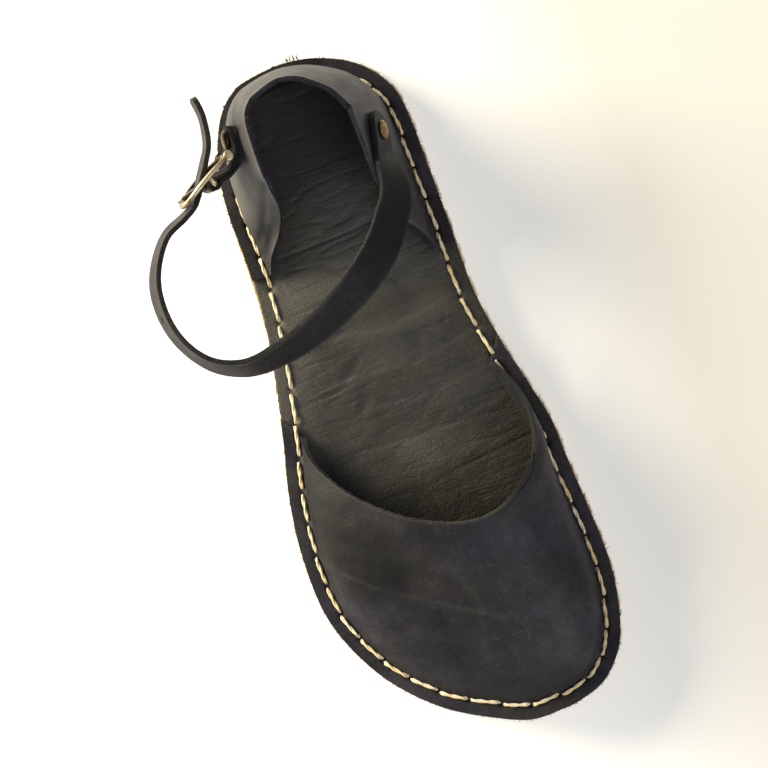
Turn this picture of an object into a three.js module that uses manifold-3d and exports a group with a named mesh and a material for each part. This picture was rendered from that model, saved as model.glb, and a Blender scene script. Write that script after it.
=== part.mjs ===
// The right shoe of a pair of hand-stitched leather sandals: a closed toe, an open waist, a heel counter
// and an ankle strap with a buckle. Upper and insole are laid on a thick leather outsole with their edges
// turned outwards and stitched through.
// Millimetres, +Z up, +Y towards the toe, +X towards the wearer's right, which is the outer side. The origin
// is on the ground under the middle of the heel seat.

import * as THREE from "three";
import { mergeVertices } from "three/addons/utils/BufferGeometryUtils.js";
import Module from "manifold-3d";

// Sole and insole
const SHOE_LENGTH = 264; // heel edge to toe edge
const BALL_WIDTH = 108; // across the ball, stitched edge included
const HEEL_SEAT = 36; // from the heel's back edge forward to the origin
const OUTSOLE = 5.5; // thickness of the outsole
const OUTSOLE_BEVEL = 0.8; // bevel round its lower edge
const INSOLE = 2; // thickness of the insole
const INSOLE_INSET = 0.6; // the outsole stands out this far past the dark leather
const HEEL_LIFT = 1; // how far the heel's back edge, the waist and the toe leave the ground
const ARCH_LIFT = 1.5;
const TOE_SPRING = 8;
const GAP = 0.3; // clearance between pieces that meet

// Upper
const UPPER = 1.8; // leather of vamp and counter
const FLANGE = 7.5; // from the sole's edge in to the foot of the wall
const COUNTER_HEIGHT = 56; // wall of the counter at the back, above its flange
const VAMP_HEIGHT = 31; // ridge of the vamp at the throat, above its flange
const TOE_HEIGHT = 17; // the same at the front end of the ridge

// Straps
const STRAP = 2; // thickness of the ankle strap
const STRAP_WIDTH = 14;
const STRAP_TAIL = 7.7; // strap end past its rivet
const PLY = 1.3; // each ply of the short strap that holds the buckle
const PLY_TAIL = 5.4;

// Rivets
const RIVET_CAP = 7.2;
const RIVET_DOME = 1.3;
const RIVET_SHANK = 2.6;
const RIVET_HEIGHT = 37; // above the flange
const RIVET_BACK = 6; // cap on the inner side
const RIVET_BACK_RISE = 0.8;

// Buckle
const BUCKLE_LENGTH = 27;
const BUCKLE_PLAY = 1.1; // room for the strap above and below
const WIRE_WIDTH = 2.8; // the frame's wire, flattened
const WIRE = 2;
const ARCH = 1; // the frame bows out in the middle
const BAR = 2; // centre bar
const PRONG = 1.4;
const BUCKLE_TURN = -57.5; // degrees about Z, from +Y
const BUCKLE_PITCH = 11; // degrees by which its front end stands higher
const BUCKLE_LEAN = 12; // degrees by which its top leans back to the shoe
const BUCKLE_OUT = 14.8; // buckle's centre from the outer rivet
const BUCKLE_FORWARD = 11.5;
const BUCKLE_RISE = 4;

// The sole's outline from the heel's back edge round the outer side to the toe and back along the inner side.
// along is a share of SHOE_LENGTH from the heel edge, across a share of BALL_WIDTH.
const OUTLINE = [
  { along: -0.002, across: 0.01 },
  { along: 0.002, across: 0.119 },
  { along: 0.014, across: 0.21 },
  { along: 0.045, across: 0.283 },
  { along: 0.102, across: 0.338 },
  { along: 0.17, across: 0.361 },
  { along: 0.254, across: 0.355 },
  { along: 0.326, across: 0.358 },
  { along: 0.402, across: 0.38 },
  { along: 0.508, across: 0.427 },
  { along: 0.576, across: 0.465 },
  { along: 0.648, across: 0.49 },
  { along: 0.723, across: 0.492 },
  { along: 0.784, across: 0.47 },
  { along: 0.848, across: 0.401 },
  { along: 0.9, across: 0.308 },
  { along: 0.947, across: 0.176 },
  { along: 0.979, across: 0.028 },
  { along: 0.997, across: -0.088 },
  { along: 0.998, across: -0.19 },
  { along: 0.992, across: -0.287 },
  { along: 0.975, across: -0.386 },
  { along: 0.932, across: -0.473 },
  { along: 0.862, across: -0.519 },
  { along: 0.788, across: -0.526 },
  { along: 0.663, across: -0.501 },
  { along: 0.6, across: -0.49 },
  { along: 0.53, across: -0.447 },
  { along: 0.47, across: -0.409 },
  { along: 0.394, across: -0.376 },
  { along: 0.303, across: -0.369 },
  { along: 0.208, across: -0.362 },
  { along: 0.125, across: -0.353 },
  { along: 0.076, across: -0.328 },
  { along: 0.032, across: -0.24 },
  { along: 0.006, across: -0.111 },
];

// Where the sole leaves the ground, as shares of SHOE_LENGTH.
const GROUND = { heelFrom: 0.057, heelTo: 0.227, ballFrom: 0.568, ballTo: 0.739 };

// Ends of the two upper pieces, as shares of SHOE_LENGTH.
const COUNTER_ENDS = { outer: 0.28, inner: 0.318 };
const VAMP_ENDS = { outer: 0.481, inner: 0.462 };

// The counter's wall. place runs from its front end on the inner side, -1, round the back, 0, to its front
// end on the outer side, 1. height, lean and belly are shares of COUNTER_HEIGHT: how high the wall stands,
// how far its edge leans in, and how far it bellies out low down.
const COUNTER_WALL = [
  { place: -1, height: 0.02, lean: 0.005, belly: 0 },
  { place: -0.93, height: 0.14, lean: 0.06, belly: 0 },
  { place: -0.86, height: 0.32, lean: 0.16, belly: 0 },
  { place: -0.77, height: 0.57, lean: 0.2, belly: 0.01 },
  { place: -0.67, height: 0.79, lean: 0.205, belly: 0.02 },
  { place: -0.53, height: 0.95, lean: 0.195, belly: 0.035 },
  { place: -0.38, height: 0.99, lean: 0.17, belly: 0.06 },
  { place: -0.19, height: 1, lean: 0.135, belly: 0.12 },
  { place: 0, height: 1, lean: 0.085, belly: 0.17 },
  { place: 0.19, height: 1, lean: 0.1, belly: 0.18 },
  { place: 0.35, height: 0.985, lean: 0.105, belly: 0.17 },
  { place: 0.52, height: 0.94, lean: 0.18, belly: 0.15 },
  { place: 0.7, height: 0.75, lean: 0.225, belly: 0.12 },
  { place: 0.8, height: 0.5, lean: 0.235, belly: 0.11 },
  { place: 0.87, height: 0.28, lean: 0.17, belly: 0.08 },
  { place: 0.94, height: 0.12, lean: 0.05, belly: 0.03 },
  { place: 1, height: 0.02, lean: 0.005, belly: 0 },
];

// The ridge of the vamp, from the middle of the throat to its front end above the toes.
const RIDGE = { fromAlong: 0.7, fromAcross: -0.146, toAlong: 0.879, toAcross: -0.176 };

// The vamp's meridians, each a cubic arc from the foot of the wall to the ridge. place runs from the throat's
// outer end, -1, by the toe, 0, to its inner end, 1. rise is the share of the ridge's height to which the arc
// first heads, sweep how far it heads forward and bulge how far outward there, as shares of BALL_WIDTH, and
// spread how far out it leaves the ridge, as a share of the way down to the foot.
const VAMP_WALL = [
  { place: -1, rise: 0.5, sweep: 0.157, bulge: 0.015, spread: 0.5 },
  { place: -0.8, rise: 0.5, sweep: 0.06, bulge: 0.02, spread: 0.5 },
  { place: -0.55, rise: 0.46, sweep: 0.01, bulge: 0.014, spread: 0.48 },
  { place: -0.25, rise: 0.3, sweep: 0, bulge: 0, spread: 0.45 },
  { place: 0, rise: 0.2, sweep: 0, bulge: 0, spread: 0.45 },
  { place: 0.15, rise: 0.4, sweep: 0, bulge: 0, spread: 0.5 },
  { place: 0.35, rise: 0.62, sweep: 0, bulge: 0.015, spread: 0.58 },
  { place: 0.6, rise: 0.7, sweep: 0.02, bulge: 0.03, spread: 0.7 },
  { place: 0.8, rise: 0.62, sweep: 0.08, bulge: 0.06, spread: 0.95 },
  { place: 1, rise: 0.52, sweep: 0.2, bulge: 0.1, spread: 1.37 },
];
const THROAT_SLANT = 7; // the throat's edge crosses the flange this much further forward on its inner side
const THROAT_FROM = 0.4; // the place past which meridians start to turn into the throat's edge

// The ankle strap's way from the inner side round the front to the buckle, and its free end beyond it.
// along and across as in OUTLINE, up a share of COUNTER_HEIGHT above the flange, lean in degrees: how far the
// strap's upper edge leans to the inside of the loop.
const STRAP_LOOP = [
  { along: 0.229, across: -0.231, up: 0.72, lean: 46 },
  { along: 0.264, across: -0.19, up: 0.75, lean: 58 },
  { along: 0.305, across: -0.114, up: 0.8, lean: 64 },
  { along: 0.341, across: -0.006, up: 0.86, lean: 61 },
  { along: 0.374, across: 0.138, up: 0.91, lean: 50 },
  { along: 0.395, across: 0.286, up: 0.965, lean: 35 },
  { along: 0.401, across: 0.42, up: 1, lean: 22 },
  { along: 0.384, across: 0.525, up: 1, lean: 16 },
  { along: 0.349, across: 0.599, up: 0.985, lean: 15 },
  { along: 0.303, across: 0.638, up: 0.93, lean: 17 },
  { along: 0.254, across: 0.637, up: 0.875, lean: 18 },
  { along: 0.217, across: 0.601, up: 0.835, lean: 16 },
  { along: 0.19, across: 0.548, up: 0.795, lean: 14 },
];
const STRAP_END = [
  { along: 0.092, across: 0.33, up: 0.75, lean: 11 },
  { along: 0.068, across: 0.318, up: 0.745, lean: 10 },
  { along: 0.046, across: 0.315, up: 0.745, lean: 9 },
  { along: 0.022, across: 0.325, up: 0.75, lean: 8 },
];
const INNER_RIVET = -0.57; // places of the rivets on the counter
const OUTER_RIVET = 0.45;
const STRAP_LEAVES = 8.5; // how far past its rivet each strap still lies on the counter
const PLY_LEAVES = 4.8;

// The ankle strap's way through the buckle. under is 1 where it lies under the frame's wire and 0 where it
// lies over the fold of the short strap, out is how far it stands out from that place, in strap thicknesses,
// and along a share of half the frame's length, towards its front end.
const STRAP_IN_BUCKLE = [
  { under: 1, out: -0.2, along: 1.25 },
  { under: 1, out: -0.15, along: 0.83 },
  { under: 1, out: 0.7, along: 0.45 },
  { under: 0, out: 0.3, along: 0.04 },
  { under: 0, out: 1.6, along: -0.38 },
];

// The short strap's way from the counter to the bar: out is how far the middle of its two plies lies out from
// the bar, in bar diameters, along as above, and open how far the plies have parted.
const PLY_WAY = [
  { out: -0.7, along: -1.02, open: 0 },
  { out: -0.85, along: -0.68, open: 0 },
  { out: -0.2, along: -0.3, open: 0.35 },
];

// How finely curves are cut into facets.
const SOLE_ROWS = 44;
const SOLE_COLUMNS = 5;
const WALL_STEPS = 52;
const COUNTER_RISE = [0.08, 0.2, 0.35, 0.5, 0.65, 0.8, 0.9, 1];
const VAMP_RISE = [0.06, 0.14, 0.24, 0.35, 0.47, 0.6, 0.74, 0.88, 1];
const STRAP_STEPS = 100;
const PLY_STEPS = 60;
const FOLD_STEPS = 4;
const RING_STEPS = 32;
const BAR_STEPS = 20;
const CURL_STEPS = 13;
const RIVET_STEPS = 20;
const TIP = 0.02; // where a rounded strap end stops, as a share of half its width

const SLACK = 0.01; // keeps the corner sum solvable where all faces lie in one plane
const HEEL_TURN = 0.03; // the outline runs forward from the heel past this turn
const LEAN_EARLY = 0.45; // the share of its lean that the counter's wall heads for on the way up
const BORE = 30; // longer than all the layers that a rivet goes through

const STACK = OUTSOLE + GAP + INSOLE + GAP + UPPER; // ground to the top of the flange
const UP = new THREE.Vector3(0, 0, 1);
const wasm = await Module();
wasm.setup();

// Tables and outline

// The value of a table's column at a place between its rows, by cubic arcs that keep the slope between each
// row's neighbours.
function read(table, column, place) {
  const last = table.length - 1;
  let i = 0;
  while (i < last - 1 && place > table[i + 1].place) i++;
  const slope = (k) => {
    const before = table[Math.max(k - 1, 0)];
    const after = table[Math.min(k + 1, last)];
    return (after[column] - before[column]) / (after.place - before.place);
  };
  const run = table[i + 1].place - table[i].place;
  const t = (place - table[i].place) / run;
  const eased = t * t * (3 - 2 * t);
  const chord = table[i][column] * (1 - eased) + table[i + 1][column] * eased;
  return chord + run * t * (1 - t) * ((1 - t) * slope(i) - t * slope(i + 1));
}

const groundPoint = ({ along, across }, up = 0) =>
  new THREE.Vector3(across * BALL_WIDTH, along * SHOE_LENGTH - HEEL_SEAT, up);

const outline = new THREE.CatmullRomCurve3(
  OUTLINE.map((row) => groundPoint(row)),
  true,
  "catmullrom",
  0.5,
);
outline.arcLengthDivisions = 1500;
const perimeter = outline.getLength();

// A point of the outline, the direction along it and the one into the shoe. turn is the share of the way
// round.
function edgeAt(turn) {
  const share = THREE.MathUtils.euclideanModulo(turn, 1);
  const forward = outline.getTangentAt(share);
  return { point: outline.getPointAt(share), forward, inward: new THREE.Vector3(-forward.y, forward.x, 0) };
}

// The turn, between two turns, at which the outline passes a share of the shoe's length.
function turnAt(along, from, to) {
  const y = along * SHOE_LENGTH - HEEL_SEAT;
  const rising = edgeAt(from).point.y < edgeAt(to).point.y;
  let [low, high] = [from, to];
  for (let i = 0; i < 40; i++) {
    const middle = (low + high) / 2;
    if (edgeAt(middle).point.y < y === rising) low = middle;
    else high = middle;
  }
  return (low + high) / 2;
}

const TURNS = 400;
const toeTurn = Array.from({ length: TURNS }, (_, i) => i / TURNS).reduce((best, turn) =>
  edgeAt(turn).point.y > edgeAt(best).point.y ? turn : best,
);

// Height of the sole's underside above the ground.
function underside(y) {
  const share = (y + HEEL_SEAT) / SHOE_LENGTH;
  const { heelFrom, heelTo, ballFrom, ballTo } = GROUND;
  if (share < heelFrom) return HEEL_LIFT * ((heelFrom - share) / heelFrom) ** 2;
  if (share > ballTo) return TOE_SPRING * ((share - ballTo) / (1 - ballTo)) ** 2;
  if (share <= heelTo || share >= ballFrom) return 0;
  return ARCH_LIFT * Math.sin((Math.PI * (share - heelTo)) / (ballFrom - heelTo)) ** 2;
}

// Making solids

// Two triangles for each cell of a grid of points.
function cells(rows) {
  const triangles = [];
  for (let i = 0; i + 1 < rows.length; i++)
    for (let j = 0; j + 1 < rows[i].length; j++) {
      triangles.push([rows[i][j], rows[i + 1][j], rows[i + 1][j + 1]]);
      triangles.push([rows[i][j], rows[i + 1][j + 1], rows[i][j + 1]]);
    }
  return triangles;
}

// Shared points and faces of a list of triangles, without the triangles that have closed up.
function weld(triangles) {
  const loose = new THREE.BufferGeometry().setFromPoints(triangles.flat());
  const { index, attributes } = mergeVertices(loose, 1e-3);
  const points = Array.from({ length: attributes.position.count }, (_, i) =>
    new THREE.Vector3().fromBufferAttribute(attributes.position, i),
  );
  const faces = [];
  for (let i = 0; i < index.count; i += 3) {
    const [a, b, c] = [index.getX(i), index.getX(i + 1), index.getX(i + 2)];
    if (a !== b && b !== c && c !== a) faces.push([a, b, c]);
  }
  return { points, faces };
}

// A closed surface as a geometry, turned so that its faces point out.
function closed({ points, faces }) {
  const volume = faces.reduce(
    (sum, [a, b, c]) => sum + points[a].dot(points[b].clone().cross(points[c])),
    0,
  );
  const facing = volume < 0 ? faces.map(([a, b, c]) => [a, c, b]) : faces;
  return new THREE.BufferGeometry().setFromPoints(points).setIndex(facing.flat());
}

// A sheet given its wall: the sheet itself, the same sheet moved in by the wall's thickness, and a strip
// round its open edge.
function thicken(triangles, wall) {
  const { points, faces } = weld(triangles);
  const around = points.map(() => []);
  for (const face of faces) {
    const [a, b, c] = face.map((i) => points[i]);
    const normal = b.clone().sub(a).cross(c.clone().sub(a)).normalize();
    face.forEach((corner) => around[corner].push(normal));
  }
  // Each inner corner lies a wall's thickness behind all the faces that meet at it, by least squares.
  const inner = points.map((point, i) => {
    const sum = (pick) => around[i].reduce((total, n) => total + pick(n), 0);
    const [xy, xz, yz] = [sum((n) => n.x * n.y), sum((n) => n.x * n.z), sum((n) => n.y * n.z)];
    const [xx, yy, zz] = ["x", "y", "z"].map((axis) => sum((n) => n[axis] ** 2) + SLACK);
    const behind = new THREE.Vector3(sum((n) => n.x), sum((n) => n.y), sum((n) => n.z));
    behind.applyMatrix3(new THREE.Matrix3(xx, xy, xz, xy, yy, yz, xz, yz, zz).invert());
    return point.clone().addScaledVector(behind, -wall);
  });
  const count = points.length;
  const sides = faces.flatMap(([a, b, c]) => [`${a} ${b}`, `${b} ${c}`, `${c} ${a}`]);
  const shared = new Set(sides);
  const rim = sides
    .map((side) => side.split(" ").map(Number))
    .filter(([a, b]) => !shared.has(`${b} ${a}`))
    .flatMap(([a, b]) => [
      [b, a, a + count],
      [b, a + count, b + count],
    ]);
  const back = faces.map(([a, b, c]) => [a + count, c + count, b + count]);
  return closed({ points: [...points, ...inner], faces: [...faces, ...back, ...rim] });
}

// A section carried along stations, each with a point and the two directions of the section's plane. A ring
// of stations closes on itself, a row of them has its two ends closed.
function carry(stations, section, ring = false) {
  const loops = stations.map(({ at, side, face, narrow = 1 }) =>
    section.map(([s, f]) => at.clone().addScaledVector(side, s * narrow).addScaledVector(face, f)),
  );
  const rows = (ring ? [...loops, loops[0]] : loops).map((loop) => [...loop, loop[0]]);
  const triangles = cells(rows);
  if (!ring) {
    const [first, last] = [loops[0], loops[loops.length - 1]];
    for (let i = 1; i + 1 < section.length; i++) {
      triangles.push([first[0], first[i], first[i + 1]]);
      triangles.push([last[0], last[i + 1], last[i]]);
    }
  }
  return closed(weld(triangles));
}

const round = (radius, steps = 8) =>
  Array.from({ length: steps }, (_, i) => {
    const angle = (2 * Math.PI * i) / steps;
    return [radius * Math.cos(angle), radius * Math.sin(angle)];
  });

// A strap through the given points, each with its lean: a flat section that stays upright but for the lean,
// and faces the left-hand side of its way. Its ends can be rounded over their last stretch.
function ribbon(route, width, thickness, steps, { roundStart = false, roundEnd = false } = {}) {
  const curve = new THREE.CatmullRomCurve3(route.map(({ at }) => at), false, "centripetal");
  const spans = route.length - 1;
  const half = width / 2;
  const samples = Array.from({ length: steps + 1 }, (_, i) => i / steps);
  const tips = [TIP, 0.12, 0.3, 0.55, 0.8].map((share) => (share * half) / curve.getLength());
  if (roundStart) samples.push(...tips);
  if (roundEnd) samples.push(...tips.map((share) => 1 - share));
  samples.sort((a, b) => a - b);
  const stations = samples.map((share) => {
    const t = curve.getUtoTmapping(share);
    const span = Math.min(Math.floor(t * spans), spans - 1);
    const lean = THREE.MathUtils.lerp(route[span].lean, route[span + 1].lean, t * spans - span);
    const way = curve.getTangent(t);
    const left = new THREE.Vector3(-way.y, way.x, 0).normalize();
    const tilt = THREE.MathUtils.degToRad(lean);
    const face = left.multiplyScalar(Math.cos(tilt)).addScaledVector(UP, Math.sin(tilt));
    const side = way.clone().cross(face).normalize();
    const fromStart = roundStart ? share * curve.getLength() : half;
    const fromEnd = roundEnd ? (1 - share) * curve.getLength() : half;
    const short = Math.max(0, half - Math.max(Math.min(fromStart, fromEnd), TIP * half)) / half;
    const narrow = Math.sqrt(1 - short ** 2);
    return { at: curve.getPoint(t), side, face: side.clone().cross(way).normalize(), narrow };
  });
  const flat = [
    [-half, -thickness / 2],
    [half, -thickness / 2],
    [half, thickness / 2],
    [-half, thickness / 2],
  ];
  return carry(stations, flat);
}

// Booleans on placed geometries.
function solid(geometry) {
  const bare = new THREE.BufferGeometry().setAttribute("position", geometry.getAttribute("position"));
  const merged = mergeVertices(bare.setIndex(geometry.index), 1e-3);
  return new wasm.Manifold(
    new wasm.Mesh({
      numProp: 3,
      vertProperties: new Float32Array(merged.attributes.position.array),
      triVerts: new Uint32Array(merged.index.array),
    }),
  );
}

function geometryOf(manifold) {
  const mesh = manifold.getMesh();
  return new THREE.BufferGeometry()
    .setAttribute("position", new THREE.BufferAttribute(mesh.vertProperties, 3))
    .setIndex(new THREE.BufferAttribute(mesh.triVerts, 1));
}

const cut = (geometry, ...tools) =>
  geometryOf(tools.reduce((left, tool) => left.subtract(solid(tool)), solid(geometry)));

// Sole and insole

// A layer of the sole between rings set in from the outline and raised above its underside, lowest first.
function layer(rings) {
  const ringPoint = (turn, { inset, rise }) => {
    const { point, inward } = edgeAt(turn);
    const at = point.addScaledVector(inward, inset);
    return at.setZ(underside(at.y) + rise);
  };
  const turns = Array.from({ length: SOLE_ROWS + 1 }, (_, i) => i / SOLE_ROWS);
  const cap = (ring) =>
    turns.map((share) => {
      const outer = ringPoint(share * toeTurn, ring);
      const inner = ringPoint(1 - share * (1 - toeTurn), ring);
      return Array.from({ length: SOLE_COLUMNS + 1 }, (_, j) => {
        const at = outer.clone().lerp(inner, j / SOLE_COLUMNS);
        return at.setZ(underside(at.y) + ring.rise);
      });
    });
  const there = turns.map((share) => share * toeTurn);
  const back = turns.toReversed().map((share) => 1 - share * (1 - toeTurn));
  const side = rings.map((ring) => [...there, ...back.slice(1)].map((turn) => ringPoint(turn, ring)));
  const flip = (triangles) => triangles.map(([a, b, c]) => [a, c, b]);
  const caps = [...cells(cap(rings[rings.length - 1])), ...flip(cells(cap(rings[0])))];
  return closed(weld([...caps, ...flip(cells(side))]));
}

const outsole = layer([
  { inset: OUTSOLE_BEVEL, rise: 0 },
  { inset: 0, rise: OUTSOLE_BEVEL },
  { inset: 0, rise: OUTSOLE },
]);
const insole = layer([
  { inset: INSOLE_INSET, rise: OUTSOLE + GAP },
  { inset: INSOLE_INSET, rise: OUTSOLE + GAP + INSOLE },
]);

// Counter

const counterTurns = {
  outer: turnAt(COUNTER_ENDS.outer, HEEL_TURN, toeTurn),
  inner: turnAt(COUNTER_ENDS.inner, 1 - HEEL_TURN, toeTurn) - 1,
};

// A point of the counter's outer face. rise is -1 at the flange's edge, 0 at the foot of the wall and 1 at
// the collar.
function counterPoint(place, rise) {
  const turn = place < 0 ? -place * counterTurns.inner : place * counterTurns.outer;
  const { point, inward } = edgeAt(turn);
  const up = Math.max(rise, 0);
  const height = COUNTER_HEIGHT * read(COUNTER_WALL, "height", place) * up;
  const lean = COUNTER_HEIGHT * read(COUNTER_WALL, "lean", place);
  const belly = COUNTER_HEIGHT * read(COUNTER_WALL, "belly", place);
  const swing = (3 * (1 - up) * up ** 2 * LEAN_EARLY + up ** 3) * lean - 3 * (1 - up) ** 2 * up * belly;
  const flange = INSOLE_INSET + (FLANGE - INSOLE_INSET) * Math.min(rise + 1, 1);
  const at = point.addScaledVector(inward, flange + swing);
  return at.setZ(underside(at.y) + STACK + height);
}

// The counter's outer face at a height above the flange, and the direction out of it.
function counterSeat(place, height) {
  const rise = height / (COUNTER_HEIGHT * read(COUNTER_WALL, "height", place));
  const step = 0.01;
  const along = counterPoint(place + step, rise).sub(counterPoint(place - step, rise));
  const upward = counterPoint(place, rise + step).sub(counterPoint(place, rise - step));
  return { at: counterPoint(place, rise), out: along.cross(upward).normalize() };
}

// Seats on the counter from a strap's end, a tail behind its rivet, to where the strap leaves the counter.
function seatsPast(rivetPlace, tail, leaves) {
  const arc = perimeter * (rivetPlace < 0 ? counterTurns.inner : counterTurns.outer);
  return [-tail, -tail / 2, 0, leaves / 3, (leaves * 2) / 3, leaves].map((distance) =>
    counterSeat(rivetPlace + distance / arc, RIVET_HEIGHT),
  );
}

// Shifted along the way out by a distance, as a station of a strap that faces out or in.
function seatOf({ at, out }, distance, facing = 1) {
  const lean = THREE.MathUtils.radToDeg(Math.asin(out.z)) * facing;
  return { at: at.clone().addScaledVector(out, distance), lean };
}

const places = Array.from({ length: WALL_STEPS + 1 }, (_, i) => (2 * i) / WALL_STEPS - 1);
const counterSheet = cells(
  places.map((place) => [-1, -0.5, 0, ...COUNTER_RISE].map((rise) => counterPoint(place, rise))),
);

// Vamp

const vampTurns = {
  outer: turnAt(VAMP_ENDS.outer, HEEL_TURN, toeTurn),
  inner: turnAt(VAMP_ENDS.inner, 1 - HEEL_TURN, toeTurn),
};

// A point of the vamp's outer face. rise is -1 at the flange's edge, 0 at the foot of the wall and 1 at
// the ridge.
function vampPoint(place, rise) {
  const far = Math.abs(place);
  const end = place < 0 ? vampTurns.outer : vampTurns.inner;
  const turn = toeTurn + far * (end - toeTurn);
  const throat = Math.max(0, (far - THROAT_FROM) / (1 - THROAT_FROM)) ** 2;
  const slant = (Math.sign(-place) * throat * THROAT_SLANT) / perimeter;
  const edge = edgeAt(turn);
  edge.point.addScaledVector(edge.inward, INSOLE_INSET);
  const { point, inward, forward } = edgeAt(turn + slant);
  const foot = point.addScaledVector(inward, FLANGE);
  if (rise <= 0) {
    const at = edge.point.lerp(foot, rise + 1);
    return at.setZ(underside(at.y) + STACK);
  }
  const way = 1 - far ** 1.5;
  const top = groundPoint({
    along: THREE.MathUtils.lerp(RIDGE.fromAlong, RIDGE.toAlong, way),
    across: THREE.MathUtils.lerp(RIDGE.fromAcross, RIDGE.toAcross, way),
  });
  const height = THREE.MathUtils.lerp(VAMP_HEIGHT, TOE_HEIGHT, way);
  const sweep = BALL_WIDTH * read(VAMP_WALL, "sweep", place) * Math.sign(-place);
  const bulge = BALL_WIDTH * read(VAMP_WALL, "bulge", place);
  const heading = foot.clone().addScaledVector(forward, sweep).addScaledVector(inward, -bulge);
  const spread = read(VAMP_WALL, "spread", place);
  const leaving = top.clone();
  leaving.x += spread * (foot.x - top.x);
  leaving.y += spread * (foot.y - top.y) * (1 - throat);
  heading.z = height * read(VAMP_WALL, "rise", place);
  leaving.z = height;
  top.z = height;
  const at = new THREE.CubicBezierCurve3(foot, heading, leaving, top).getPoint(rise);
  return at.setZ(at.z + underside(at.y) + STACK);
}

const vampSheet = cells(
  places.map((place) => [-1, -0.5, 0, ...VAMP_RISE].map((rise) => vampPoint(place, rise))),
);

// Buckle, in its own frame: X out of the shoe, Y along it to its front end, Z up

const buckleHeight = STRAP_WIDTH + 2 * BUCKLE_PLAY + 2 * WIRE_WIDTH;
const ringHalf = { length: (BUCKLE_LENGTH - WIRE_WIDTH) / 2, height: (buckleHeight - WIRE_WIDTH) / 2 };
const barIn = -(BAR / 2 + GAP + PLY); // the bar lies in by as much as the strap folded round it stands out
const foldRadius = BAR / 2 + GAP + PLY / 2;
const coilRadius = BAR / 2 + GAP + PRONG / 2;

const bow = (y) => ARCH * (1 - (y / ringHalf.length) ** 2);

function ringStation(i) {
  const angle = (2 * Math.PI * i) / RING_STEPS;
  const squared = (value) => Math.sign(value) * Math.abs(value) ** 0.75;
  const y = ringHalf.length * squared(Math.cos(angle));
  const z = ringHalf.height * squared(Math.sin(angle));
  return new THREE.Vector3(bow(y), y, z);
}

const ringPath = Array.from({ length: RING_STEPS }, (_, i) => ringStation(i));
const ring = carry(
  ringPath.map((at, i) => {
    const way = ringPath[(i + 1) % RING_STEPS].clone().sub(ringPath[(i + RING_STEPS - 1) % RING_STEPS]);
    const face = new THREE.Vector3(1, 0, 0);
    return { at, side: way.cross(face).normalize(), face };
  }),
  [
    [-WIRE_WIDTH / 2, -WIRE * 0.25],
    [-WIRE_WIDTH * 0.3, -WIRE / 2],
    [WIRE_WIDTH * 0.3, -WIRE / 2],
    [WIRE_WIDTH / 2, -WIRE * 0.25],
    [WIRE_WIDTH / 2, WIRE * 0.25],
    [WIRE_WIDTH * 0.3, WIRE / 2],
    [-WIRE_WIDTH * 0.3, WIRE / 2],
    [-WIRE_WIDTH / 2, WIRE * 0.25],
  ],
  true,
);

// The bar stands between the rails, its two ends bent out to meet them.
const barPath = new THREE.CatmullRomCurve3(
  [
    [bow(0), 1],
    [barIn * 0.7, 0.97],
    [barIn, 0.87],
    [barIn, 0.75],
    [barIn, -0.75],
    [barIn, -0.87],
    [barIn * 0.7, -0.97],
    [bow(0), -1],
  ].map(([x, z]) => new THREE.Vector3(x, 0, z * ringHalf.height)),
  false,
  "centripetal",
);
const bar = carry(
  Array.from({ length: BAR_STEPS + 1 }, (_, i) => {
    const way = barPath.getTangentAt(i / BAR_STEPS);
    const side = new THREE.Vector3(0, 1, 0);
    return { at: barPath.getPointAt(i / BAR_STEPS), side, face: side.clone().cross(way).normalize() };
  }),
  round(BAR / 2),
);
const buckleFrame = geometryOf(solid(ring).add(solid(bar)));

// The prong: a wire curled round the bar, and a tongue out through the strap to the frame's front end. spare
// is added to its radius and at both ends.
function prong(spare) {
  const rest = new THREE.Vector2(WIRE * 0.6 + GAP + PRONG / 2, ringHalf.length - WIRE_WIDTH / 2);
  const tip = new THREE.Vector2(rest.x, ringHalf.length + WIRE_WIDTH * 0.3 + spare);
  const lift = Math.atan2(rest.x - (barIn + coilRadius), rest.y);
  const curl = Array.from({ length: CURL_STEPS + 1 }, (_, i) => {
    const angle = THREE.MathUtils.lerp(spare / coilRadius, -1.5 * Math.PI + lift, i / CURL_STEPS);
    return new THREE.Vector2(barIn + coilRadius * Math.sin(angle), coilRadius * Math.cos(angle));
  });
  const leaves = curl[curl.length - 1];
  const tongue = [0.3, 0.6, 1].map((share) => leaves.clone().lerp(rest, share));
  const path = [...curl, ...tongue, tip].map(({ x, y }) => new THREE.Vector3(x, y, 0));
  const stations = path.map((at, i) => {
    const way = path[Math.min(i + 1, path.length - 1)].clone().sub(path[Math.max(i - 1, 0)]);
    return { at, side: UP, face: UP.clone().cross(way).normalize() };
  });
  return carry(stations, round(PRONG / 2 + spare));
}

const outerSeat = counterSeat(OUTER_RIVET, RIVET_HEIGHT);
const buckle = new THREE.Group();
buckle.position.copy(outerSeat.at).add(new THREE.Vector3(BUCKLE_OUT, BUCKLE_FORWARD, BUCKLE_RISE));
buckle.rotation.set(...[BUCKLE_PITCH, -BUCKLE_LEAN, BUCKLE_TURN].map(THREE.MathUtils.degToRad), "ZXY");
buckle.updateMatrixWorld(true);

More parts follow.
